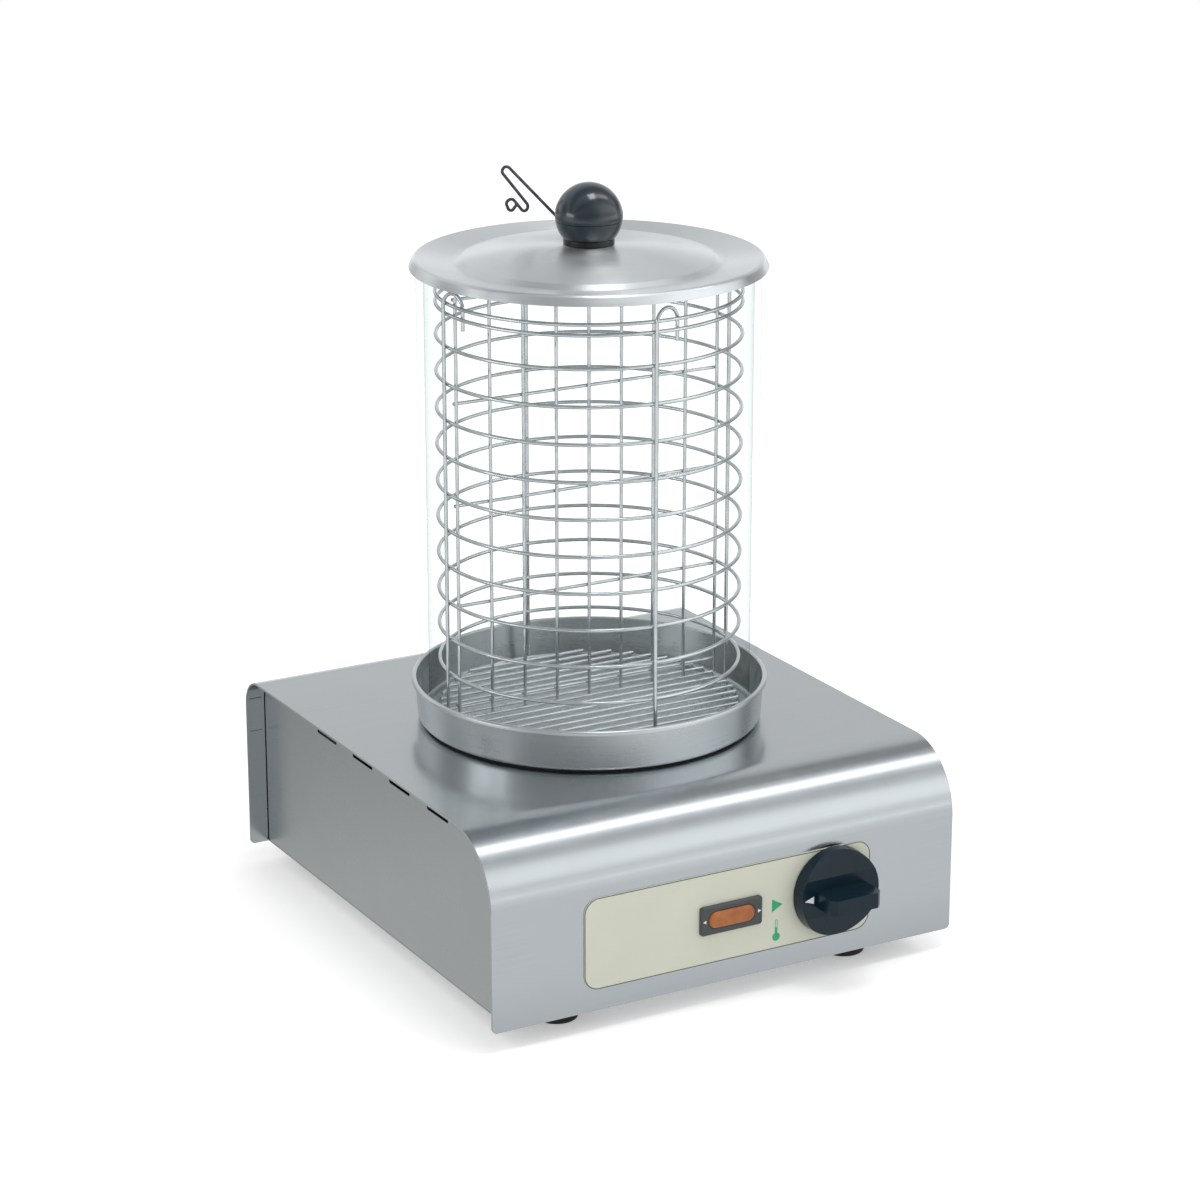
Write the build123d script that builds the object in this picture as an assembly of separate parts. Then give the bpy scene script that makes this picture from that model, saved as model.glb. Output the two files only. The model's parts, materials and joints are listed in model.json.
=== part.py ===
from build123d import *
import math
import os

# Counter-top hot dog steamer: a low sheet-steel housing with a rotary heat control, a round water tray
# on its top, and a glass cylinder standing in the tray.  A wire basket with a dividing grid stands in
# the glass, and a pressed lid with a ball knob closes it.
#
# Frame: millimetres, +Z up, the front faces -Y, and the origin is on the table under the middle.
# Each function makes one sub-assembly and returns its nodes as {"node_name": solid or group of solids}.

# ---- Housing ---------------------------------------------------------------------------------------
HOUSING_WIDTH = 300.0          # left to right, over the cover
HOUSING_DEPTH = 320.0          # front wall to rear wall, over the cover
HOUSING_TOP = 121.0            # the top face above the table
FOOT_HEIGHT = 12.0             # table to the housing's lower edge
COVER_SHEET = 1.2              # thickness of the bent cover
FRONT_BEND = 40.0              # outer radius of the large front bend
REAR_BEND = 17.5               # outer radius of the rear bend
COVER_CORNER = 3.0             # rounded lower corners of the cover
PANEL_SHEET = 1.0              # thickness of the side panels
PANEL_RECESS = 12.0            # how far the side panels stand in from the cover's edges
PANEL_FLANGE = 13.0            # width of the flange round each side panel
PANEL_REAR_GAP = 1.0           # open joint between a side panel and the rear wall
PANEL_CORNER = 1.5             # outer bend radius of the side panels' lower corners
PANEL_INNER_CORNER = 0.3       # smallest bend radius inside those corners
BASE_SHEET = 1.0               # thickness of the bottom plate
BASE_GAP = 0.3                 # bottom plate to the front and rear walls
VENT_COUNT = 4                 # slots along the top of each side panel
VENT_PITCH = 47.8
VENT_CENTRE_Y = -2.0           # middle of the row of slots
VENT_LENGTH = 26.0
VENT_HEIGHT = 2.4
VENT_DROP = 12.4               # the slots' middle below the housing's top
SLIT_LENGTH = 8.5              # short slits in the rear wall's edges, beside the side panels
SLIT_HEIGHT = 1.0
SLIT_DROPS = (14.5, 35.4)      # the slits below the housing's top
AIR_COUNT = 7                  # air slots in the bottom plate
AIR_LENGTH = 60.0
AIR_WIDTH = 4.0
AIR_PITCH = 12.0

# ---- Feet and housing screws -----------------------------------------------------------------------
FOOT_TOP_RADIUS = 14.0
FOOT_BASE_RADIUS = 12.0
FOOT_INSET_X = 55.0            # foot centre in from the cover's side edge
FOOT_INSET_Y = 28.0            # foot centre in from the front and rear faces
FOOT_SEAT = 4.0                # height of the screw head's seat inside the foot
SCREW_CLEARANCE = 0.2          # clearance holes, on the radius
THREAD_GAP = 0.05              # tapped holes and nuts, on the radius
SCREW_END_GAP = 1.0            # blind hole past the end of its screw
M4_RADIUS = 2.0
M4_HEAD_RADIUS = 3.8
M4_HEAD_HEIGHT = 2.2
M4_NUT_FLATS = 7.0
M4_NUT_HEIGHT = 3.2
M5_RADIUS = 2.5
M5_HEAD_RADIUS = 4.7
M5_HEAD_HEIGHT = 3.0
M5_NUT_FLATS = 8.0
M5_NUT_HEIGHT = 4.0
M5_WASHER_RADIUS = 5.0
M6_RADIUS = 3.0
M6_NUT_FLATS = 10.0
M6_NUT_HEIGHT = 5.0
WASHER_SHEET = 1.0
CUT_SHEETS = 4                 # a through-cutter's length in sheet thicknesses
SCREW_TAIL = 3.0               # thread standing past a nut or a flange
HEAD_ROUND_SHARE = 1 / 3       # a screw head's rounding as a share of its height
SIDE_SCREW_PITCH = 110.0       # screws that hold the bottom plate, along each side

# ---- Front panel -----------------------------------------------------------------------------------
FASCIA_WIDTH = 186.0
FASCIA_BOTTOM = 25.0
FASCIA_TOP = 79.0
FASCIA_CORNER = 9.0
FASCIA_SHEET = 0.8
FASCIA_KNOB_HOLE = 19.0        # radius of the hole behind the knob
LAMP_X = 0.0
LAMP_Z = 51.5
BEZEL_WIDTH = 40.0
BEZEL_HEIGHT = 17.0
BEZEL_DEPTH = 2.5              # how far the bezel stands out of the fascia
BEZEL_CORNER = 1.8
LENS_WIDTH = 30.0
LENS_HEIGHT = 10.2
LENS_SINK = 1.6                # depth of the lens's pocket in the bezel
LENS_CROWN = 0.9               # how far the lens stands out of the bezel
LENS_ROUND = 0.81              # rounding of the lens's front edge
LAMP_BODY_WIDTH = 34.0
LAMP_BODY_HEIGHT = 11.0
LAMP_BODY_DEPTH = 24.0         # behind the fascia's front face
LAMP_TAB_LENGTH = 8.0
CUTOUT_GAP = 0.5               # round the lamp body in the wall and the fascia

# ---- Heat control ----------------------------------------------------------------------------------
KNOB_X = 67.5
KNOB_Z = 53.8
KNOB_RADIUS = 26.2
KNOB_FACE_RADIUS = 25.6        # front edge of the skirt, smaller by the mould's draft
KNOB_GAP = 0.8                 # between the knob's back and the fascia
KNOB_SKIRT = 8.7               # depth of the skirt
KNOB_WALL = 2.0
KNOB_CAVITY = 4.0              # depth of the hollow behind the knob
KNOB_HUB_RADIUS = 7.0
KNOB_SCOOP_START = 11.5        # half the height of the flat band across the knob's face
KNOB_SCOOP_ANGLE = 14.0        # degrees that the face falls back above and below the band
GRIP_LENGTH = 33.0
GRIP_THICKNESS = 9.2
GRIP_DEPTH = 18.0              # the grip bar in front of the skirt
GRIP_CHAMFER = 3.2
POINTER_TIP = 24.0             # from the knob's axis
POINTER_LENGTH = 5.8
POINTER_WIDTH = 4.2
POINTER_SHEET = 0.35
SHAFT_RADIUS = 3.0
SHAFT_GAP = 0.05               # running clearance of the shaft, on the radius
SHAFT_FLAT = 1.5               # depth of the flat that drives the knob
SHAFT_IN_KNOB = 12.0           # length of shaft held by the knob
SHAFT_IN_BODY = 12.0           # length of shaft inside the thermostat
BOSS_RADIUS = 6.0
THERMOSTAT_WIDTH = 44.0
THERMOSTAT_HEIGHT = 38.0
THERMOSTAT_DEPTH = 30.0
THERMOSTAT_SCREW_PITCH = 28.0
THERMOSTAT_TAB_LENGTH = 8.0
TAB_WIDTH = 6.3
TAB_SHEET = 0.8

# ---- Water tray ------------------------------------------------------------------------------------
GASKET_SHEET = 1.0
GASKET_INNER = 82.0
GASKET_OUTER = 98.0
TRAY_SHEET = 1.0
TRAY_BOTTOM_RADIUS = 100.8
TRAY_WALL_RADIUS = 102.4       # the wall just under the rim
TRAY_RIM_RADIUS = 104.2
TRAY_HEIGHT = 25.0             # underside to the top of the rim
TRAY_RIM_LIP = 2.4             # height of the rolled rim
TRAY_RIM_INNER_BEND = 0.55     # bends of the sheet's middle at the rim
TRAY_RIM_OUTER_BEND = 0.65
TRAY_CORNER = 3.0
TRAY_STEP_RADIUS = 84.0        # edge of the raised middle of the floor
TRAY_STEP_RUN = 2.0            # width of the slope round the raised middle
TRAY_STEP_RISE = 2.0
STUD_RING_RADIUS = 91.0
STUD_COUNT = 3
STUD_START_ANGLE = 30.0
TOP_OPENING_RADIUS = 80.0      # opening in the cover under the tray

# ---- Heater ----------------------------------------------------------------------------------------
HEATER_PLATE_RADIUS = 74.0
HEATER_PLATE_SHEET = 4.0
ELEMENT_RING_RADIUS = 52.0
ELEMENT_RADIUS = 4.0
ELEMENT_GAP_ANGLE = 24.0       # degrees between the element's two ends
ELEMENT_LEG_RADIUS = 5.0
ELEMENT_LEG_LENGTH = 20.0
ELEMENT_LEG_GAP = 0.15         # between the heater plate and the tops of the element's legs
ELEMENT_PIN_RADIUS = 1.5
ELEMENT_PIN_LENGTH = 12.0
INSULATOR_RADIUS = 3.6
INSULATOR_LENGTH = 5.0
CLAMP_LENGTH = 132.0
CLAMP_WIDTH = 20.0
CLAMP_SHEET = 2.5
LIMITER_RADIUS = 8.0
LIMITER_HEIGHT = 10.0
LIMITER_X = 0.0
LIMITER_Y = -26.0
LIMITER_TAB_PITCH = 9.0
BULB_RADIUS = 3.0
BULB_LENGTH = 60.0
BULB_Y = 27.0
CAPILLARY_RADIUS = 0.8
CAPILLARY_LEAD = 6.0           # bulb to the bend down inside the element's ring
CAPILLARY_FIRST_BEND = 5.0
CAPILLARY_BEND = 12.0

# ---- Mains parts at the rear -----------------------------------------------------------------------
GLAND_INSET = 55.0             # gland centre in from the cover's left edge
GLAND_Z = 42.0
GLAND_THREAD_RADIUS = 10.0
GLAND_BORE_RADIUS = 4.0
GLAND_FLANGE_FLATS = 24.0
GLAND_FLANGE_DEPTH = 5.0
GLAND_CAP_RADIUS = 11.5
GLAND_CAP_NOSE_RADIUS = 7.5
GLAND_THREAD_INSIDE = 10.0
LOCKNUT_FLATS = 26.0
LOCKNUT_DEPTH = 5.0
TERMINAL_INSET = 110.0         # middle of the terminal block in from the cover's left edge
TERMINAL_WALL_GAP = 34.0       # middle of the terminal block in from the rear wall
TERMINAL_POLES = 3
TERMINAL_PITCH = 12.0
TERMINAL_DEPTH = 24.0
TERMINAL_HEIGHT = 18.0
TERMINAL_CORNER = 1.5
TERMINAL_SCREW_RADIUS = 2.2
TERMINAL_SCREW_SPACING = 12.0

# ---- Glass cylinder --------------------------------------------------------------------------------
GLASS_RADIUS = 98.5
GLASS_WALL = 4.5
GLASS_HEIGHT = 272.0
GLASS_RIM_ROUND = 2.0

# ---- Basket ----------------------------------------------------------------------------------------
BASKET_RADIUS = 87.4           # centre line of the rings
BASKET_WIRE = 1.1              # radius of the ring and upright wire
WELD = 0.15                    # depth that crossing wires are sunk into each other
BASKET_RING_COUNT = 10         # evenly spaced rings
BASKET_RING_START = 35.1       # lowest of these rings above the tray's floor channel
BASKET_RING_DROP = 42.95       # highest of these rings below the glass's upper rim
BASKET_TOP_DROP = 18.0         # top ring below the glass's upper rim
BASKET_TOP_SPACING = 6.0       # between the two rings at the top
BASKET_FLOOR_RISE = 5.5        # floor ring above the tray's floor channel
FLOOR_WIRE = 1.0
FLOOR_WIRE_COUNT = 18
FLOOR_WIRE_PITCH = 9.2
UPRIGHT_COUNT = 4
UPRIGHT_ANGLE = -94.6          # degrees from +X to the front upright
HOOK_SPAN = 15.4               # width of the loop at the top of each upright
HOOK_DROP = 11.0               # top of the loops' centre line below the glass's upper rim
HOOK_LEG = 20.0                # height of a loop's inner leg, with its bend
DIVIDER_WIRE = 1.0
DIVIDER_COUNT = 9              # upright wires of the dividing grid
DIVIDER_BARS = 5
DIVIDER_BAR_START = 17.3       # lowest bar above the floor channel
DIVIDER_BAR_DROP = 15.1        # highest bar below the glass's upper rim
DIVIDER_BOTTOM = 10.0          # lower ends above the floor channel
DIVIDER_DROP = 13.5            # upper ends below the glass's upper rim
DIVIDER_OVERHANG = 1.0         # bars past the outermost uprights

# ---- Lid -------------------------------------------------------------------------------------------
LID_SHEET = 0.9
LID_SEAT_GAP = 0.05            # lid to the glass rim
LID_CENTRE_RADIUS = 16.5       # flat seat of the knob
LID_CENTRE_RISE = 7.1          # heights are the sheet's middle above the seat on the glass
LID_DISC_RADIUS = 71.8
LID_DISC_RISE = -0.1
LID_GROOVE_RADIUS = 76.0
LID_GROOVE_WIDTH = 2.0
LID_SLOPE = 8.0                # degrees that the broad rim rises outwards
LID_EDGE_RADIUS = 99.5
LID_SKIRT_RADIUS = 102.2
LID_SKIRT_DROP = 5.1           # skirt's lower edge below the seat
LID_GROOVE_BEND = 1.2          # bends of the sheet's middle, from the groove outwards
LID_RIM_BEND = 1.0
LID_SKIRT_BEND = 2.2
BALL_RADIUS = 19.3
BALL_BASE_RADIUS = 15.2        # flat face under the ball
COLLAR_RADIUS = 14.6
COLLAR_HEIGHT = 3.9
COLLAR_ROUND = 1.0
LID_SCREW_IN_BALL = 16.0
HOOK_WIRE = 0.9
HOOK_AZIMUTH = 150.5           # degrees from +X, the way the lifting hook points
HOOK_BEHIND = 18.0             # the hook's plane from the knob's axis
HOOK_HEIGHT = 1.35             # the wire in the collar, above the lid's flat seat
HOOK_START = (2.7, 5.7)        # along and behind, inside the collar
HOOK_FOOT = 8.7                # where the wire turns up, just outside the collar
HOOK_FOOT_BEND = 2.0
# Corners of the bent wire: (along, height above the lid's flat seat, bend radius).
HOOK_CORNERS = (
    (47.2, 41.8, 2.3),
    (49.7, 37.4, 2.3),
    (34.3, 17.8, 3.0),
    (36.5, 13.3, 1.8),
    (43.8, 22.4, 2.2),
    (47.4, 19.7, 2.2),
    (44.8, 13.2, 1.7),
)
HOOK_END = (41.3, 18.3)

# ---- Sizes that follow from the ones above ---------------------------------------------------------
HALF_WIDTH = HOUSING_WIDTH / 2
HALF_DEPTH = HOUSING_DEPTH / 2
WALL_INSIDE = HALF_DEPTH - COVER_SHEET            # inner face of the front and rear walls
ROOF_INSIDE = HOUSING_TOP - COVER_SHEET           # inner face of the top
PANEL_OUTSIDE = HALF_WIDTH - PANEL_RECESS         # outer face of the side panels
FLOOR_INSIDE = FOOT_HEIGHT + BASE_SHEET           # upper face of the bottom plate
FASCIA_FRONT = HALF_DEPTH + FASCIA_SHEET          # distance in front of the origin
KNOB_BACK = FASCIA_FRONT + KNOB_GAP
TRAY_UNDERSIDE = HOUSING_TOP + GASKET_SHEET
TRAY_CHANNEL = TRAY_UNDERSIDE + TRAY_SHEET        # the glass and the basket stand here
TRAY_RAISED_UNDERSIDE = TRAY_UNDERSIDE + TRAY_STEP_RISE
HEATER_UNDERSIDE = TRAY_RAISED_UNDERSIDE - HEATER_PLATE_SHEET
ELEMENT_Z = HEATER_UNDERSIDE - ELEMENT_RADIUS
CLAMP_TOP = ELEMENT_Z - ELEMENT_RADIUS
GLASS_TOP = TRAY_CHANNEL + GLASS_HEIGHT
HOOK_TOP = GLASS_HEIGHT - HOOK_DROP               # above the floor channel
UPRIGHT_RADIUS = BASKET_RADIUS + 2 * BASKET_WIRE - WELD
HOOK_LEG_RADIUS = BASKET_RADIUS - 2 * BASKET_WIRE + WELD
FLOOR_WIRE_Z = TRAY_CHANNEL + BASKET_FLOOR_RISE + BASKET_WIRE + FLOOR_WIRE - WELD
DIVIDER_HALF = BASKET_RADIUS - BASKET_WIRE - DIVIDER_WIRE + WELD
GLAND_X = GLAND_INSET - HALF_WIDTH
GLAND_REACH = KNOB_GAP + FASCIA_SHEET + KNOB_SKIRT + GRIP_DEPTH   # as far out as the knob in front


# ---- Helpers ---------------------------------------------------------------------------------------
def group(solids):
    """Several separate solids as one node."""
    return Compound(children=list(solids))


def rod(radius, start, end):
    """A straight round bar from one point to another."""
    start, end = Vector(*start), Vector(*end)
    return extrude(Plane(origin=start, z_dir=end - start) * Circle(radius), (end - start).length)


def tube_along(radius, path):
    """A round wire along a path."""
    section = Plane(origin=path @ 0, z_dir=path % 0) * Circle(radius)
    return sweep(section, path=path)


def turned(outline):
    """A solid of revolution about Z from closed (radius, height) corners."""
    return revolve(make_face(Plane.XZ * Polyline(*outline, close=True)), Axis.Z)


def washer(outer, inner, bottom, thickness):
    """A flat ring about Z."""
    return Pos(0, 0, bottom) * extrude(Circle(outer) - Circle(inner), thickness)


def hex_nut(flats, bore, thickness):
    """A hexagon nut standing on z = 0."""
    return extrude(RegularPolygon(flats / 2, 6, major_radius=False) - Circle(bore), thickness)


def facing_front(x, distance, z):
    """A plane on the front, x to the right, y up, looking out along -Y."""
    return Plane(origin=(x, -distance, z), x_dir=(1, 0, 0), z_dir=(0, -1, 0))


def facing_rear(x, distance, z):
    """A plane on the rear, y up, looking out along +Y."""
    return Plane(origin=(x, distance, z), x_dir=(-1, 0, 0), z_dir=(0, 1, 0))


def corners(inset_x, inset_y):
    """The four points of a rectangle inside the housing's edges."""
    x, y = HALF_WIDTH - inset_x, HALF_DEPTH - inset_y
    return [(sx * x, sy * y) for sx in (-1, 1) for sy in (-1, 1)]


def spaced(first, last, count):
    """Evenly spaced values from first to last, both included."""
    return [first + (last - first) * i / (count - 1) for i in range(count)]


def ring_points(radius, count, start):
    """Points evenly spaced on a circle, start in degrees."""
    angles = [math.radians(start + 360 / count * i) for i in range(count)]
    return [(radius * math.cos(a), radius * math.sin(a)) for a in angles]


# ---- Housing ---------------------------------------------------------------------------------------
def section_inside(inset, bottom, rear_gap):
    """The housing's side outline, stepped in from the cover's outer face by inset."""
    front, rear = -HALF_DEPTH + inset, HALF_DEPTH - inset - rear_gap
    top = HOUSING_TOP - inset
    lower_corner = max(PANEL_CORNER + COVER_SHEET - inset, PANEL_INNER_CORNER)
    return make_face(
        Plane.YZ
        * FilletPolyline(
            (front, bottom),
            (front, top),
            (rear, top),
            (rear, bottom),
            radius=[
                lower_corner,
                FRONT_BEND - inset,
                REAR_BEND - inset,
                lower_corner,
            ],
            close=True,
        )
    )


def through_cover(plane, face):
    """A cutter that takes a flat shape right through the cover's sheet."""
    return extrude(plane * face, CUT_SHEETS * COVER_SHEET / 2, both=True)


def top_cover():
    """The bent cover: front wall, top and rear wall in one sheet."""
    middle = COVER_SHEET / 2
    front, rear = -HALF_DEPTH + middle, HALF_DEPTH - middle
    path = FilletPolyline(
        (front, FOOT_HEIGHT),
        (front, HOUSING_TOP - middle),
        (rear, HOUSING_TOP - middle),
        (rear, FOOT_HEIGHT),
        radius=[FRONT_BEND - middle, REAR_BEND - middle],
    )
    cover = extrude(Plane.YZ * trace(path, COVER_SHEET), HALF_WIDTH, both=True)
    low_corners = cover.edges().filter_by(Axis.Y).filter_by(
        lambda e: abs(e.center().Z - FOOT_HEIGHT) < 0.01 and abs(abs(e.center().X) - HALF_WIDTH) < 0.01
    )
    cover = fillet(low_corners, COVER_CORNER)
    cover -= Pos(0, 0, HOUSING_TOP) * Cylinder(TOP_OPENING_RADIUS, CUT_SHEETS * COVER_SHEET)
    for x, y in ring_points(STUD_RING_RADIUS, STUD_COUNT, STUD_START_ANGLE):
        cover -= Pos(x, y, HOUSING_TOP) * Cylinder(M5_RADIUS + SCREW_CLEARANCE, CUT_SHEETS * COVER_SHEET)
    lamp_hole = Rectangle(LAMP_BODY_WIDTH + 2 * CUTOUT_GAP, LAMP_BODY_HEIGHT + 2 * CUTOUT_GAP)
    cover -= through_cover(facing_front(LAMP_X, HALF_DEPTH, LAMP_Z), lamp_hole)
    knob_face = facing_front(KNOB_X, HALF_DEPTH, KNOB_Z)
    cover -= through_cover(knob_face, Circle(BOSS_RADIUS + SCREW_CLEARANCE))
    for side in (-1, 1):
        hole = Pos(side * THERMOSTAT_SCREW_PITCH / 2, 0) * Circle(M4_RADIUS + SCREW_CLEARANCE)
        cover -= through_cover(knob_face, hole)
    gland_hole = Circle(GLAND_THREAD_RADIUS + SCREW_CLEARANCE)
    cover -= through_cover(facing_rear(GLAND_X, HALF_DEPTH, GLAND_Z), gland_hole)
    for side in (-1, 1):
        for drop in SLIT_DROPS:
            middle_x = side * (PANEL_OUTSIDE + PANEL_RECESS / 2)
            slit = Box(SLIT_LENGTH, CUT_SHEETS * COVER_SHEET, SLIT_HEIGHT)
            cover -= Pos(middle_x, HALF_DEPTH, HOUSING_TOP - drop) * slit
    return cover


def side_panel(side):
    """A flanged panel that closes one end of the cover; side is -1 for the left, 1 for the right."""
    outwards = (1, 0, 0)
    outer_section = section_inside(COVER_SHEET, FLOOR_INSIDE, PANEL_REAR_GAP)
    inner_section = section_inside(COVER_SHEET + PANEL_SHEET, FLOOR_INSIDE + PANEL_SHEET, PANEL_REAR_GAP)
    outer = extrude(outer_section, PANEL_FLANGE, dir=outwards)
    inner = extrude(inner_section, PANEL_FLANGE, dir=outwards)
    panel = outer - Pos(-PANEL_SHEET, 0, 0) * inner
    vent_z = HOUSING_TOP - VENT_DROP
    for i in range(VENT_COUNT):
        vent_y = VENT_CENTRE_Y + (i - (VENT_COUNT - 1) / 2) * VENT_PITCH
        vent = Plane.YZ * Pos(vent_y, vent_z) * SlotOverall(VENT_LENGTH, VENT_HEIGHT)
        panel -= Pos(PANEL_FLANGE, 0, 0) * extrude(vent, CUT_SHEETS * PANEL_SHEET / 2, both=True)
    panel = Pos(PANEL_OUTSIDE - PANEL_FLANGE, 0, 0) * panel
    for x, y in side_screw_points():
        if x > 0:
            panel -= Pos(x, y, FLOOR_INSIDE) * Cylinder(M4_RADIUS + THREAD_GAP, CUT_SHEETS * PANEL_SHEET)
    return panel if side > 0 else mirror(panel, about=Plane.YZ)


def side_screw_points():
    """Where the bottom plate is screwed to the side panels' flanges."""
    x = PANEL_OUTSIDE - PANEL_FLANGE / 2
    return [(side * x, i * SIDE_SCREW_PITCH) for side in (-1, 1) for i in (-1, 0, 1)]


def bottom_plate():
    """The flat plate that closes the housing, with air slots and screw holes."""
    plate = Pos(0, 0, FOOT_HEIGHT) * Box(
        2 * PANEL_OUTSIDE,
        2 * (WALL_INSIDE - BASE_GAP),
        BASE_SHEET,
        align=(Align.CENTER, Align.CENTER, Align.MIN),
    )
    for i in range(AIR_COUNT):
        slot_x = (i - (AIR_COUNT - 1) / 2) * AIR_PITCH
        slot = Pos(slot_x, 0, FOOT_HEIGHT) * Rot(0, 0, 90) * SlotOverall(AIR_LENGTH, AIR_WIDTH)
        plate -= extrude(slot, CUT_SHEETS * BASE_SHEET / 2, both=True)
    for x, y in side_screw_points() + corners(FOOT_INSET_X, FOOT_INSET_Y):
        plate -= Pos(x, y, FOOT_HEIGHT) * Cylinder(M4_RADIUS + SCREW_CLEARANCE, CUT_SHEETS * BASE_SHEET)
    return plate


def m4_screw(head_top, tip):
    """A pan-head screw about Z with its head below head_top and its shank up to tip."""
    shank = rod(M4_RADIUS, (0, 0, head_top), (0, 0, tip))
    head = Pos(0, 0, head_top - M4_HEAD_HEIGHT) * extrude(Circle(M4_HEAD_RADIUS), M4_HEAD_HEIGHT)
    head = fillet(head.edges().sort_by(Axis.Z)[0], M4_HEAD_HEIGHT * HEAD_ROUND_SHARE)
    return head + shank


def feet_and_screws():
    """Rubber feet, their screws and nuts, and the bottom plate's screws."""
    foot = turned(
        [
            (M4_RADIUS + SCREW_CLEARANCE, FOOT_SEAT),
            (M4_HEAD_RADIUS + SCREW_CLEARANCE, FOOT_SEAT),
            (M4_HEAD_RADIUS + SCREW_CLEARANCE, 0),
            (FOOT_BASE_RADIUS, 0),
            (FOOT_TOP_RADIUS, FOOT_HEIGHT),
            (M4_RADIUS + SCREW_CLEARANCE, FOOT_HEIGHT),
        ]
    )
    nut_top = FLOOR_INSIDE + M4_NUT_HEIGHT
    screw = m4_screw(FOOT_SEAT, nut_top + SCREW_TAIL)
    nut = Pos(0, 0, FLOOR_INSIDE) * hex_nut(M4_NUT_FLATS, M4_RADIUS + THREAD_GAP, M4_NUT_HEIGHT)
    side_screw = m4_screw(FOOT_HEIGHT, FLOOR_INSIDE + PANEL_SHEET + SCREW_TAIL)
    places = corners(FOOT_INSET_X, FOOT_INSET_Y)
    return {
        "rubber_feet": group(Pos(x, y, 0) * foot for x, y in places),
        "foot_screws": group(Pos(x, y, 0) * screw for x, y in places),
        "foot_nuts": group(Pos(x, y, 0) * nut for x, y in places),
        "bottom_screws": group(Pos(x, y, 0) * side_screw for x, y in side_screw_points()),
    }


# ---- Front panel -----------------------------------------------------------------------------------
def fascia_plate():
    """The pale plate stuck on the front wall, open behind the lamp and the knob."""
    height, middle_z = FASCIA_TOP - FASCIA_BOTTOM, (FASCIA_TOP + FASCIA_BOTTOM) / 2
    face = RectangleRounded(FASCIA_WIDTH, height, FASCIA_CORNER)
    lamp_hole = Rectangle(LAMP_BODY_WIDTH + 2 * CUTOUT_GAP, LAMP_BODY_HEIGHT + 2 * CUTOUT_GAP)
    face -= Pos(LAMP_X, LAMP_Z - middle_z) * lamp_hole
    face -= Pos(KNOB_X, KNOB_Z - middle_z) * Circle(FASCIA_KNOB_HOLE)
    return extrude(facing_front(0, HALF_DEPTH, middle_z) * face, FASCIA_SHEET)


def lamp():
    """The pilot lamp: bezel, lens, body and its two tabs."""
    plane = facing_front(LAMP_X, FASCIA_FRONT, LAMP_Z)
    bezel = extrude(RectangleRounded(BEZEL_WIDTH, BEZEL_HEIGHT, BEZEL_CORNER), BEZEL_DEPTH)
    bezel = fillet(bezel.edges().group_by(Axis.Z)[-1], BEZEL_CORNER / 2)
    lens_face = SlotOverall(LENS_WIDTH, LENS_HEIGHT)
    pocket_floor = BEZEL_DEPTH - LENS_SINK
    bezel -= Pos(0, 0, pocket_floor) * extrude(lens_face, LENS_SINK)
    lens = Pos(0, 0, pocket_floor) * extrude(lens_face, LENS_SINK + LENS_CROWN)
    lens = fillet(lens.edges().group_by(Axis.Z)[-1], LENS_ROUND)
    body = extrude(Rectangle(LAMP_BODY_WIDTH, LAMP_BODY_HEIGHT), -LAMP_BODY_DEPTH)
    tab = Pos(0, 0, -LAMP_BODY_DEPTH) * extrude(Rectangle(TAB_SHEET, TAB_WIDTH), -LAMP_TAB_LENGTH)
    tabs = [plane * Pos(side * LAMP_BODY_WIDTH / 4, 0, 0) * tab for side in (-1, 1)]
    return {
        "lamp_bezel": plane * bezel,
        "lamp_lens": plane * lens,
        "lamp_body": plane * body,
        "lamp_tabs": group(tabs),
    }


def knob():
    """The control knob with its grip bar, in a frame whose Z leaves the front along the shaft."""
    outline = [
        (0, 0),
        (KNOB_RADIUS, 0),
        (KNOB_FACE_RADIUS, KNOB_SKIRT),
        (0, KNOB_SKIRT),
    ]
    body = turned(outline)
    reach = 2 * KNOB_RADIUS
    for side in (-1, 1):
        block = Box(reach, reach, reach, align=(Align.CENTER, Align.MIN, Align.MIN))
        tilted = Rot(-KNOB_SCOOP_ANGLE, 0, 0) * block
        upper = Pos(0, KNOB_SCOOP_START, KNOB_SKIRT) * tilted
        body -= upper if side > 0 else mirror(upper, about=Plane.XZ)
    grip = Pos(0, 0, KNOB_CAVITY) * extrude(
        Rectangle(GRIP_LENGTH, GRIP_THICKNESS), KNOB_SKIRT - KNOB_CAVITY + GRIP_DEPTH
    )
    ends = grip.edges().filter_by(Axis.Y).group_by(Axis.Z)[-1]
    grip = chamfer(ends, GRIP_CHAMFER)
    body += grip
    body -= extrude(Circle(KNOB_FACE_RADIUS - KNOB_WALL) - Circle(KNOB_HUB_RADIUS), KNOB_CAVITY)
    flat_y = SHAFT_RADIUS - SHAFT_FLAT
    above_flat = Pos(0, flat_y + SHAFT_RADIUS) * Rectangle(4 * SHAFT_RADIUS, 2 * SHAFT_RADIUS)
    return body - extrude(Circle(SHAFT_RADIUS) - above_flat, SHAFT_IN_KNOB)


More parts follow.
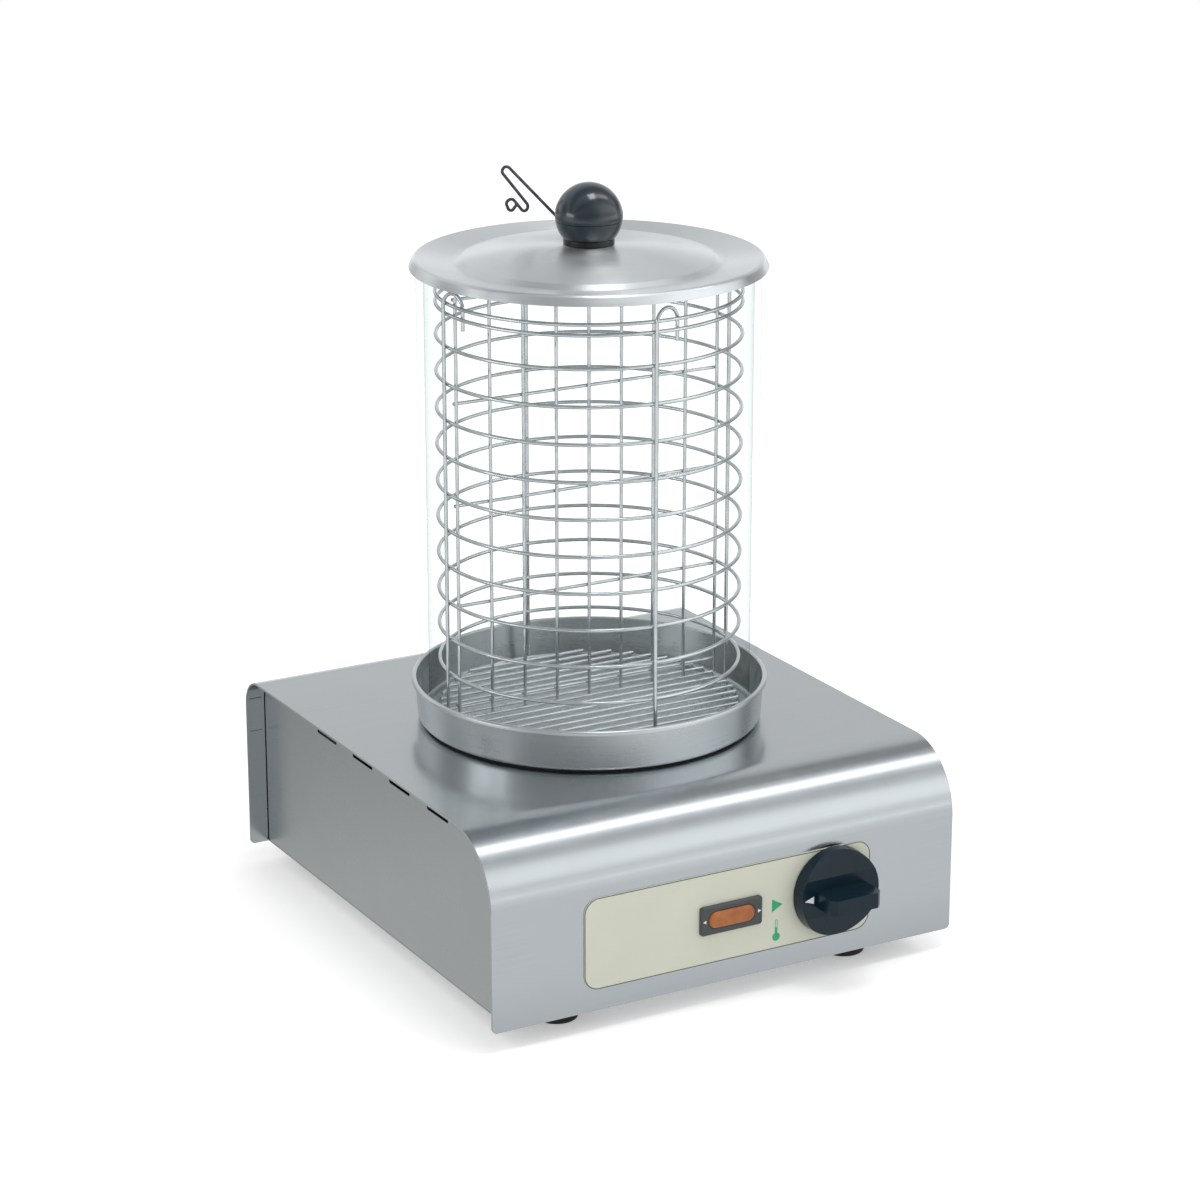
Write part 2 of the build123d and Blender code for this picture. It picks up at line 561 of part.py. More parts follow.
def control():
    """The knob with its pointer and shaft, and the thermostat that the shaft turns in."""
    knob_plane = facing_front(KNOB_X, KNOB_BACK, KNOB_Z)
    wall_plane = facing_front(KNOB_X, WALL_INSIDE, KNOB_Z)
    pointer = make_face(
        Polyline(
            (-POINTER_TIP, 0),
            (-POINTER_TIP + POINTER_LENGTH, POINTER_WIDTH / 2),
            (-POINTER_TIP + POINTER_LENGTH, -POINTER_WIDTH / 2),
            close=True,
        )
    )
    pointer = Pos(0, 0, KNOB_SKIRT) * extrude(pointer, POINTER_SHEET)

    wall_to_knob = KNOB_BACK - WALL_INSIDE
    shaft_length = SHAFT_IN_BODY + wall_to_knob + SHAFT_IN_KNOB
    shaft = extrude(Pos(0, 0, -SHAFT_IN_BODY) * Circle(SHAFT_RADIUS), shaft_length)
    flat_y = SHAFT_RADIUS - SHAFT_FLAT
    flat = Pos(0, flat_y + SHAFT_RADIUS, wall_to_knob) * extrude(
        Rectangle(4 * SHAFT_RADIUS, 2 * SHAFT_RADIUS), 2 * SHAFT_IN_KNOB
    )
    shaft -= flat

    body = extrude(RectangleRounded(THERMOSTAT_WIDTH, THERMOSTAT_HEIGHT, 2 * TAB_SHEET), -THERMOSTAT_DEPTH)
    boss_length = FASCIA_FRONT - WALL_INSIDE
    body += extrude(Circle(BOSS_RADIUS), boss_length)
    body -= Pos(0, 0, -SHAFT_IN_BODY - SHAFT_GAP) * extrude(
        Circle(SHAFT_RADIUS + SHAFT_GAP), SHAFT_IN_BODY + SHAFT_GAP + boss_length
    )
    screws = []
    for side in (-1, 1):
        spot = Pos(side * THERMOSTAT_SCREW_PITCH / 2, 0, 0)
        body -= spot * extrude(Circle(M4_RADIUS + THREAD_GAP), -(SHAFT_IN_BODY - COVER_SHEET))
        screw = Rot(180, 0, 0) * m4_screw(-COVER_SHEET, SHAFT_IN_BODY - 2 * COVER_SHEET)
        screws.append(wall_plane * spot * screw)
    tab_face = Rectangle(TAB_WIDTH, TAB_SHEET)
    tab = Pos(0, 0, -THERMOSTAT_DEPTH) * extrude(tab_face, -THERMOSTAT_TAB_LENGTH)
    tabs = [wall_plane * Pos(0, side * THERMOSTAT_HEIGHT / 4, 0) * tab for side in (-1, 1)]
    return {
        "control_knob": knob_plane * knob(),
        "knob_pointer": knob_plane * pointer,
        "control_shaft": wall_plane * shaft,
        "thermostat_body": wall_plane * body,
        "thermostat_screws": group(screws),
        "thermostat_tabs": group(tabs),
    }


# ---- Water tray and heater -------------------------------------------------------------------------
def water_tray():
    """The drawn tray with a raised floor and a rolled rim."""
    half = TRAY_SHEET / 2
    low, high = TRAY_UNDERSIDE + half, TRAY_RAISED_UNDERSIDE + half
    rim = TRAY_UNDERSIDE + TRAY_HEIGHT - half
    path = FilletPolyline(
        (0, high),
        (TRAY_STEP_RADIUS, high),
        (TRAY_STEP_RADIUS + TRAY_STEP_RUN, low),
        (TRAY_BOTTOM_RADIUS - half, low),
        (TRAY_WALL_RADIUS - half, rim),
        (TRAY_RIM_RADIUS - half, rim),
        (TRAY_RIM_RADIUS - half, rim + half - TRAY_RIM_LIP),
        radius=[TRAY_SHEET, TRAY_SHEET, TRAY_CORNER - half, TRAY_RIM_INNER_BEND, TRAY_RIM_OUTER_BEND],
    )
    return revolve(Plane.XZ * trace(path, TRAY_SHEET), Axis.Z)


def tray_fixings():
    """The gasket under the tray, and the studs, washers and nuts that hold the tray down."""
    gasket = washer(GASKET_OUTER, GASKET_INNER, HOUSING_TOP, GASKET_SHEET)
    nut_top = ROOF_INSIDE - WASHER_SHEET
    nut_bottom = nut_top - M5_NUT_HEIGHT
    studs, washers, nuts = [], [], []
    for x, y in ring_points(STUD_RING_RADIUS, STUD_COUNT, STUD_START_ANGLE):
        gasket -= Pos(x, y, HOUSING_TOP) * Cylinder(M5_RADIUS + SCREW_CLEARANCE, CUT_SHEETS * GASKET_SHEET)
        studs.append(rod(M5_RADIUS, (x, y, nut_bottom - SCREW_TAIL), (x, y, TRAY_UNDERSIDE)))
        disc = washer(M5_WASHER_RADIUS, M5_RADIUS + SCREW_CLEARANCE, nut_top, WASHER_SHEET)
        washers.append(Pos(x, y, 0) * disc)
        nut = hex_nut(M5_NUT_FLATS, M5_RADIUS + THREAD_GAP, M5_NUT_HEIGHT)
        nuts.append(Pos(x, y, nut_bottom) * nut)
    return {
        "tray_gasket": gasket,
        "tray_studs": group(studs),
        "tray_washers": group(washers),
        "tray_nuts": group(nuts),
    }


def heater():
    """The heating element on its spreader plate, its clamp, and the two heat sensors."""
    plate = washer(HEATER_PLATE_RADIUS, M6_RADIUS + SCREW_CLEARANCE, HEATER_UNDERSIDE, HEATER_PLATE_SHEET)

    half_gap = ELEMENT_GAP_ANGLE / 2
    section = Plane.XZ * Pos(ELEMENT_RING_RADIUS, ELEMENT_Z) * Circle(ELEMENT_RADIUS)
    element = revolve(section, Axis.Z, 360 - ELEMENT_GAP_ANGLE)
    element = Rot(0, 0, 90 + half_gap) * element
    ends = [math.radians(90 + side * half_gap) for side in (-1, 1)]
    leg_top = HEATER_UNDERSIDE - ELEMENT_LEG_GAP
    leg_bottom = leg_top - ELEMENT_LEG_LENGTH
    insulator_bottom = leg_bottom - INSULATOR_LENGTH
    pin_bottom = leg_bottom - ELEMENT_PIN_LENGTH
    insulators, pins = [], []
    for angle in ends:
        x, y = ELEMENT_RING_RADIUS * math.cos(angle), ELEMENT_RING_RADIUS * math.sin(angle)
        element += rod(ELEMENT_LEG_RADIUS, (x, y, leg_bottom), (x, y, leg_top))
        pins.append(rod(ELEMENT_PIN_RADIUS, (x, y, pin_bottom), (x, y, leg_bottom)))
        bead = washer(INSULATOR_RADIUS, ELEMENT_PIN_RADIUS, insulator_bottom, INSULATOR_LENGTH)
        insulators.append(Pos(x, y, 0) * bead)

    clamp = Pos(0, 0, CLAMP_TOP - CLAMP_SHEET) * extrude(
        RectangleRounded(CLAMP_LENGTH, CLAMP_WIDTH, CLAMP_WIDTH / 4) - Circle(M6_RADIUS + SCREW_CLEARANCE),
        CLAMP_SHEET,
    )
    nut_bottom = CLAMP_TOP - CLAMP_SHEET - M6_NUT_HEIGHT
    stud = rod(M6_RADIUS, (0, 0, nut_bottom - SCREW_TAIL), (0, 0, TRAY_RAISED_UNDERSIDE))
    nut = Pos(0, 0, nut_bottom) * hex_nut(M6_NUT_FLATS, M6_RADIUS + THREAD_GAP, M6_NUT_HEIGHT)

    limiter_spot = Pos(LIMITER_X, LIMITER_Y, HEATER_UNDERSIDE)
    limiter = limiter_spot * extrude(Circle(LIMITER_RADIUS), -LIMITER_HEIGHT)
    tab_spot = Pos(0, 0, -LIMITER_HEIGHT)
    limiter_tabs = [
        limiter_spot * tab_spot * Pos(side * LIMITER_TAB_PITCH / 2, 0) * extrude(
            Rectangle(TAB_SHEET, TAB_WIDTH), -LAMP_TAB_LENGTH
        )
        for side in (-1, 1)
    ]

    bulb_z = HEATER_UNDERSIDE - BULB_RADIUS
    bulb = rod(BULB_RADIUS, (-BULB_LENGTH / 2, BULB_Y, bulb_z), (BULB_LENGTH / 2, BULB_Y, bulb_z))
    return {
        "heater_plate": plate,
        "heating_element": element,
        "heater_insulators": group(insulators),
        "heater_pins": group(pins),
        "heater_clamp": clamp,
        "heater_stud": stud,
        "heater_nut": nut,
        "overheat_cutout": limiter,
        "cutout_tabs": group(limiter_tabs),
        "sensor_bulb": bulb,
    }


def capillary_tube():
    """The thin copper tube from the sensor bulb down to the thermostat."""
    bulb_z = HEATER_UNDERSIDE - BULB_RADIUS
    drop_x = BULB_LENGTH / 2 + CAPILLARY_LEAD
    thermostat_rear = -WALL_INSIDE + THERMOSTAT_DEPTH
    run_z = KNOB_Z + THERMOSTAT_HEIGHT / 4
    outlet_x = KNOB_X + THERMOSTAT_WIDTH / 3
    path = FilletPolyline(
        (BULB_LENGTH / 2, BULB_Y, bulb_z),
        (drop_x, BULB_Y, bulb_z),
        (drop_x, BULB_Y, run_z),
        (outlet_x, BULB_Y, run_z),
        (outlet_x, thermostat_rear, run_z),
        radius=[CAPILLARY_FIRST_BEND, CAPILLARY_BEND, CAPILLARY_BEND],
    )
    return tube_along(CAPILLARY_RADIUS, path)


# ---- Mains parts -----------------------------------------------------------------------------------
def cable_entry():
    """The cable gland in the rear wall: body, dome nut and lock nut."""
    plane = facing_rear(GLAND_X, HALF_DEPTH, GLAND_Z)
    cap_length = GLAND_REACH - GLAND_FLANGE_DEPTH
    thread_end = -COVER_SHEET - GLAND_THREAD_INSIDE
    body = extrude(RegularPolygon(GLAND_FLANGE_FLATS / 2, 6, major_radius=False), GLAND_FLANGE_DEPTH)
    body += Pos(0, 0, thread_end) * extrude(Circle(GLAND_THREAD_RADIUS), -thread_end)
    body -= Pos(0, 0, thread_end) * extrude(Circle(GLAND_BORE_RADIUS), GLAND_FLANGE_DEPTH - thread_end)
    cap = turned(
        [
            (GLAND_BORE_RADIUS, 0),
            (GLAND_CAP_RADIUS, 0),
            (GLAND_CAP_RADIUS, cap_length / 2),
            (GLAND_CAP_NOSE_RADIUS, cap_length),
            (GLAND_BORE_RADIUS, cap_length),
        ]
    )
    locknut = Pos(0, 0, -COVER_SHEET - LOCKNUT_DEPTH) * hex_nut(
        LOCKNUT_FLATS, GLAND_THREAD_RADIUS + THREAD_GAP, LOCKNUT_DEPTH
    )
    return {
        "cable_gland": plane * body,
        "gland_dome_nut": plane * Pos(0, 0, GLAND_FLANGE_DEPTH) * cap,
        "gland_lock_nut": plane * locknut,
    }


def terminal_block():
    """The mains terminal block on the bottom plate, and its clamping screws."""
    length = TERMINAL_POLES * TERMINAL_PITCH
    spot = Pos(TERMINAL_INSET - HALF_WIDTH, WALL_INSIDE - TERMINAL_WALL_GAP, FLOOR_INSIDE)
    block = extrude(RectangleRounded(length, TERMINAL_DEPTH, TERMINAL_CORNER), TERMINAL_HEIGHT)
    screws = []
    for i in range(TERMINAL_POLES):
        x = (i - (TERMINAL_POLES - 1) / 2) * TERMINAL_PITCH
        for side in (-1, 1):
            at = Pos(x, side * TERMINAL_SCREW_SPACING / 2, TERMINAL_HEIGHT)
            block -= at * extrude(Circle(TERMINAL_SCREW_RADIUS), -TERMINAL_HEIGHT / 2)
            screws.append(spot * at * extrude(Circle(TERMINAL_SCREW_RADIUS), -TERMINAL_HEIGHT / 2))
    return {"terminal_block": spot * block, "terminal_screws": group(screws)}


# ---- Glass -----------------------------------------------------------------------------------------
def glass_cylinder():
    """The open glass cylinder with fire-polished rims."""
    wall = RectangleRounded(GLASS_WALL, GLASS_HEIGHT, GLASS_RIM_ROUND)
    middle = Pos(GLASS_RADIUS - GLASS_WALL / 2, TRAY_CHANNEL + GLASS_HEIGHT / 2)
    return revolve(Plane.XZ * middle * wall, Axis.Z)


# ---- Basket ----------------------------------------------------------------------------------------
def upright(angle):
    """One upright wire outside the rings, looped over the top rings and welded to their inner side."""
    turn = 2 * math.degrees(math.asin(HOOK_SPAN / 2 / BASKET_RADIUS))
    start, end = math.radians(angle), math.radians(angle + turn)
    foot = Vector(UPRIGHT_RADIUS * math.cos(start), UPRIGHT_RADIUS * math.sin(start), TRAY_CHANNEL)
    tip = Vector(HOOK_LEG_RADIUS * math.cos(end), HOOK_LEG_RADIUS * math.sin(end), TRAY_CHANNEL)
    span = (tip - foot).length
    along = (tip - foot).normalized()
    plane = Plane(origin=foot, x_dir=along, z_dir=along.cross(Vector(0, 0, 1)))
    arc_start = HOOK_TOP - span / 2
    rise = Line((0, 0), (0, arc_start))
    loop = ThreePointArc((0, arc_start), (span / 2, HOOK_TOP), (span, arc_start))
    leg = Line((span, arc_start), (span, HOOK_TOP - HOOK_LEG))
    return plane * sweep(Plane.XZ * Circle(BASKET_WIRE), path=Wire([rise, loop, leg]))


def basket():
    """The wire basket: rings, uprights, floor and dividing grid."""
    first_ring, top_ring = TRAY_CHANNEL + BASKET_RING_START, GLASS_TOP - BASKET_TOP_DROP
    levels = spaced(first_ring, GLASS_TOP - BASKET_RING_DROP, BASKET_RING_COUNT)
    levels += [top_ring - BASKET_TOP_SPACING, top_ring]
    rings = [Pos(0, 0, z) * Torus(BASKET_RADIUS, BASKET_WIRE) for z in levels]
    floor_ring = Pos(0, 0, TRAY_CHANNEL + BASKET_FLOOR_RISE) * Torus(BASKET_RADIUS, BASKET_WIRE)
    floor_wires = []
    for i in range(FLOOR_WIRE_COUNT):
        y = (i - (FLOOR_WIRE_COUNT - 1) / 2) * FLOOR_WIRE_PITCH
        half = math.sqrt(BASKET_RADIUS**2 - y**2)
        floor_wires.append(rod(FLOOR_WIRE, (-half, y, FLOOR_WIRE_Z), (half, y, FLOOR_WIRE_Z)))
    bottom, top = TRAY_CHANNEL + DIVIDER_BOTTOM, GLASS_TOP - DIVIDER_DROP
    grid_places = spaced(-DIVIDER_HALF, DIVIDER_HALF, DIVIDER_COUNT)
    grid_uprights = [rod(DIVIDER_WIRE, (x, 0, bottom), (x, 0, top)) for x in grid_places]
    bar_y = 2 * DIVIDER_WIRE - WELD
    bar_half = DIVIDER_HALF + DIVIDER_OVERHANG
    bar_levels = spaced(TRAY_CHANNEL + DIVIDER_BAR_START, GLASS_TOP - DIVIDER_BAR_DROP, DIVIDER_BARS)
    grid_bars = [rod(DIVIDER_WIRE, (-bar_half, bar_y, z), (bar_half, bar_y, z)) for z in bar_levels]
    angles = [UPRIGHT_ANGLE + i * 360 / UPRIGHT_COUNT for i in range(UPRIGHT_COUNT)]
    return {
        "basket_rings": group(rings),
        "basket_uprights": group(upright(angle) for angle in angles),
        "basket_floor_ring": floor_ring,
        "basket_floor_wires": group(floor_wires),
        "divider_uprights": group(grid_uprights),
        "divider_bars": group(grid_bars),
    }


# ---- Lid -------------------------------------------------------------------------------------------
def lid_seat():
    """The height that the lid's profile is measured from: the underside's middle line on the glass."""
    slope = math.radians(LID_SLOPE)
    rim_middle = GLASS_RADIUS - GLASS_WALL / 2
    flat_half = GLASS_WALL / 2 - GLASS_RIM_ROUND
    touch_rise = GLASS_RIM_ROUND * (1 / math.cos(slope) - 1) + flat_half * math.tan(slope)
    return GLASS_TOP + touch_rise + LID_SEAT_GAP + LID_SHEET / 2 / math.cos(slope), rim_middle


def lid_shell():
    """The pressed lid: domed middle, a groove, a broad rim rising outwards and a short skirt."""
    seat_z, seat_radius = lid_seat()
    groove_outer = LID_GROOVE_RADIUS + LID_GROOVE_WIDTH
    rise = math.tan(math.radians(LID_SLOPE))
    edge_z = seat_z + (LID_EDGE_RADIUS - seat_radius) * rise
    groove_z = seat_z + (groove_outer - seat_radius) * rise
    centre_z = seat_z + LID_CENTRE_RISE
    disc_z = seat_z + LID_DISC_RISE
    flat = Line((0, centre_z), (LID_CENTRE_RADIUS, centre_z))
    dome = TangentArc((LID_CENTRE_RADIUS, centre_z), (LID_DISC_RADIUS, disc_z), tangent=(1, 0))
    rim = FilletPolyline(
        (LID_DISC_RADIUS, disc_z),
        (LID_GROOVE_RADIUS, groove_z),
        (groove_outer, groove_z),
        (LID_EDGE_RADIUS, edge_z),
        (LID_SKIRT_RADIUS - LID_SHEET / 2, seat_z - LID_SKIRT_DROP),
        radius=[LID_GROOVE_BEND, LID_RIM_BEND, LID_SKIRT_BEND],
    )
    shell = revolve(Plane.XZ * trace([flat, dome, rim], LID_SHEET), Axis.Z)
    return shell - Pos(0, 0, centre_z) * Cylinder(M5_RADIUS + SCREW_CLEARANCE, CUT_SHEETS * LID_SHEET)


def hook_path(seat_top):
    """The centre line of the lifting hook, from inside the collar out to the bent tip."""
    azimuth = math.radians(HOOK_AZIMUTH)
    along = Vector(math.cos(azimuth), math.sin(azimuth), 0)
    behind = Vector(math.sin(azimuth), -math.cos(azimuth), 0)

    def point(distance, back, height):
        return along * distance + behind * back + Vector(0, 0, seat_top + height)

    points = [point(*HOOK_START, HOOK_HEIGHT), point(HOOK_FOOT, HOOK_BEHIND, HOOK_HEIGHT)]
    points += [point(distance, HOOK_BEHIND, height) for distance, height, _ in HOOK_CORNERS]
    points.append(point(HOOK_END[0], HOOK_BEHIND, HOOK_END[1]))
    return FilletPolyline(*points, radius=[HOOK_FOOT_BEND] + [radius for _, _, radius in HOOK_CORNERS])


def lid():
    """The lid with its ball knob, collar, screw, washer and lifting hook."""
    seat_z, _ = lid_seat()
    seat_top = seat_z + LID_CENTRE_RISE + LID_SHEET / 2
    underside = seat_top - LID_SHEET
    hook = tube_along(HOOK_WIRE, hook_path(seat_top))

    collar = Pos(0, 0, seat_top) * extrude(Circle(COLLAR_RADIUS), COLLAR_HEIGHT)
    collar = fillet(collar.edges().group_by(Axis.Z)[-1], COLLAR_ROUND)
    collar -= Pos(0, 0, seat_top) * extrude(Circle(M5_RADIUS + SCREW_CLEARANCE), COLLAR_HEIGHT)
    collar -= hook

    ball_bottom = seat_top + COLLAR_HEIGHT
    ball_centre = ball_bottom + math.sqrt(BALL_RADIUS**2 - BALL_BASE_RADIUS**2)
    ball = Pos(0, 0, ball_centre) * Sphere(BALL_RADIUS)
    ball -= Pos(0, 0, ball_bottom) * Box(
        3 * BALL_RADIUS, 3 * BALL_RADIUS, 2 * BALL_RADIUS, align=(Align.CENTER, Align.CENTER, Align.MAX)
    )
    screw_hole = extrude(Circle(M5_RADIUS + THREAD_GAP), LID_SCREW_IN_BALL + SCREW_END_GAP)
    ball -= Pos(0, 0, ball_bottom) * screw_hole

    washer_bottom = underside - WASHER_SHEET
    disc = washer(M5_WASHER_RADIUS, M5_RADIUS + SCREW_CLEARANCE, washer_bottom, WASHER_SHEET)
    screw = rod(M5_RADIUS, (0, 0, washer_bottom), (0, 0, ball_bottom + LID_SCREW_IN_BALL))
    head = Pos(0, 0, washer_bottom) * extrude(Circle(M5_HEAD_RADIUS), -M5_HEAD_HEIGHT)
    head = fillet(head.edges().group_by(Axis.Z)[0], M5_HEAD_HEIGHT * HEAD_ROUND_SHARE)
    return {
        "lid": lid_shell(),
        "lid_knob": ball,
        "knob_collar": collar,
        "lid_screw": screw + head,
        "lid_washer": disc,
        "lid_hook": hook,
    }


# ---- Write one file per node -----------------------------------------------------------------------
def all_nodes():
    """Every node of the steamer, by name."""
    nodes = {
        "top_cover": top_cover(),
        "side_panel_left": side_panel(-1),
        "side_panel_right": side_panel(1),
        "bottom_plate": bottom_plate(),
        "fascia_plate": fascia_plate(),
        "water_tray": water_tray(),
        "capillary_tube": capillary_tube(),
        "glass_cylinder": glass_cylinder(),
    }
    for assembly in (feet_and_screws, lamp, control, tray_fixings, heater, cable_entry, terminal_block):
        nodes.update(assembly())
    nodes.update(basket())
    nodes.update(lid())
    return nodes


os.makedirs("parts", exist_ok=True)
for name, shape in all_nodes().items():
    export_step(shape, f"parts/{name}.step")
    print(name)
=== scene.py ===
"""Looks of a counter-top hot dog steamer.

A satin stainless housing with a cream control plate carries a spun water tray.  A glass cylinder stands
in the tray round a plated wire basket, and a pressed lid with a ball knob closes it.  Sizes are in
millimetres and become metres when a mesh is made; +Z is up and the front faces -Y.
"""

from __future__ import annotations

import json
import logging
import math
from dataclasses import dataclass
from enum import Enum
from typing import Callable, ClassVar, Iterable, Sequence

import bmesh
import bpy
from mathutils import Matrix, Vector

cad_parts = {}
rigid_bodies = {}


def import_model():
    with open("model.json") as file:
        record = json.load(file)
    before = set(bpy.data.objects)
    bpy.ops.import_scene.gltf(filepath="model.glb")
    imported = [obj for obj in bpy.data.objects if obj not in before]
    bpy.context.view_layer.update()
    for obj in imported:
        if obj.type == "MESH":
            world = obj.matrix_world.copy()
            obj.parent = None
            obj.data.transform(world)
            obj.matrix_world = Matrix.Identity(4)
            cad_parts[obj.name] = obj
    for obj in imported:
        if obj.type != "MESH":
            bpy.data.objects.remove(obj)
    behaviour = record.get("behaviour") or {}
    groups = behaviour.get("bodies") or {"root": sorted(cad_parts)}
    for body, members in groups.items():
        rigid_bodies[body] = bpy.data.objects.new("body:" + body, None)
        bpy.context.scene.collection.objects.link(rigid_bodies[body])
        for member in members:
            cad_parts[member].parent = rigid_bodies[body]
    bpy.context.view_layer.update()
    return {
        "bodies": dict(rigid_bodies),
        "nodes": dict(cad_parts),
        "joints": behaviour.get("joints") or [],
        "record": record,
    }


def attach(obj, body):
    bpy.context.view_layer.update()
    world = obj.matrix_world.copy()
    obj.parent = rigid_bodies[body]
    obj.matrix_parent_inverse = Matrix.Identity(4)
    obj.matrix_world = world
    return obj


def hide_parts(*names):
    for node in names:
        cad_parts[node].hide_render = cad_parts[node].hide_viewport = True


LOG = logging.getLogger("steamer")
MM = 0.001
SMOOTH_TO = 35.0  # edges that bend by more than this many degrees stay sharp
WIRE_SMOOTH_TO = 40.0
POLE = 1e-6  # a radius below this is on the axis
MERGE = 1e-4  # corners closer than this are one
RING_STEPS = 144
MATH, VECTOR, RANGE = "ShaderNodeMath", "ShaderNodeVectorMath", "ShaderNodeMapRange"
NOISE_SPAN = {1: 0.3, 2: 0.7}  # most noise values lie between these; a map range reads from them
Point2 = tuple[float, float]
Point3 = tuple[float, float, float]
Colour = tuple[float, float, float, float]
Placer = Callable[[float, float, float], Point3]
Inputs = dict[str | int, object]
Row = tuple[float, ...]


# Colour and node building -------------------------------------------------------------------------
def linear(hex_code: str) -> Colour:
    """Turn an sRGB colour such as "A0B1C2" into linear RGBA.

    Args:
        hex_code: six hexadecimal digits.

    Returns:
        The linear colour.
    """

    def channel(value: int) -> float:
        """One channel, 0 to 255, as a linear value."""
        share = value / 255
        return share / 12.92 if share <= 0.04045 else ((share + 0.055) / 1.055) ** 2.4

    red, green, blue = (channel(int(hex_code[i : i + 2], 16)) for i in (0, 2, 4))
    return red, green, blue, 1.0


class Graph:
    """Adds and links nodes in one node tree."""

    def __init__(self, tree: bpy.types.NodeTree) -> None:
        """Keep the tree and start it empty."""
        self.tree = tree
        tree.nodes.clear()

    def add(self, kind: str, inputs: Inputs | None = None, **settings: object) -> bpy.types.Node:
        """Add a node, set it and link it.

        Args:
            kind: the node's Blender type name.
            inputs: for each input, by name or position, a value, a socket, or a node for its first output.
            settings: the node's own properties.

        Returns:
            The new node.
        """
        node = self.tree.nodes.new(kind)
        for name, value in settings.items():
            setattr(node, name, value)
        for key, value in (inputs or {}).items():
            source = value.outputs[0] if isinstance(value, bpy.types.Node) else value
            if isinstance(source, bpy.types.NodeSocket):
                self.tree.links.new(source, node.inputs[key])
            else:
                node.inputs[key].default_value = source
        return node


def material(name: str, shader: Callable[[Graph], bpy.types.Node]) -> bpy.types.Material:
    """Make a material.

    Args:
        name: its name.
        shader: adds the shader to a graph and returns it.

    Returns:
        The material.
    """
    made = bpy.data.materials.new(name)
    made.use_nodes = True
    graph = Graph(made.node_tree)
    graph.add("ShaderNodeOutputMaterial", {0: shader(graph)})
    return made


def mottle(graph: Graph, size_mm: float, detail: float) -> bpy.types.Node:
    """Add a random pattern that stays on the piece.

    Args:
        graph: the material's graph.
        size_mm: size of one patch.
        detail: how many finer layers it has.

    Returns:
        The noise node.
    """
    place = graph.add("ShaderNodeTexCoord").outputs["Object"]
    return graph.add("ShaderNodeTexNoise", {"Vector": place, "Scale": 1 / (size_mm * MM), "Detail": detail})


def two_tone(
    graph: Graph, pattern: bpy.types.Node, first: object, second: Colour, most: float = 1.0
) -> bpy.types.NodeSocket:
    """Turn one colour into another where a pattern is high.

    Args:
        graph: the material's graph.
        pattern: the noise node.
        first: the colour, or its socket, where the pattern is low.
        second: the colour where it is high.
        most: largest share of the second colour.

    Returns:
        The mixed colour.
    """
    share = graph.add(RANGE, {0: pattern, **NOISE_SPAN, 3: 0.0, 4: most})
    return graph.add("ShaderNodeMix", {0: share, 6: first, 7: second}, data_type="RGBA").outputs[2]


def from_axis(graph: Graph) -> tuple[bpy.types.Node, bpy.types.NodeSocket]:
    """Find where the shaded point is across the piece's Z axis.

    Args:
        graph: the material's graph.

    Returns:
        Its place across the axis, and its distance from it, in metres.
    """
    place = graph.add("ShaderNodeTexCoord").outputs["Object"]
    flat = graph.add(VECTOR, {0: place, 1: (1.0, 1.0, 0.0)}, operation="MULTIPLY")
    return flat, graph.add(VECTOR, {0: flat}, operation="LENGTH").outputs["Value"]


class Grain(Enum):
    """The way that a metal's brushing runs."""

    ACROSS = "lines along X"
    DEPTH = "lines along Y"
    ROUND = "rings round Z"


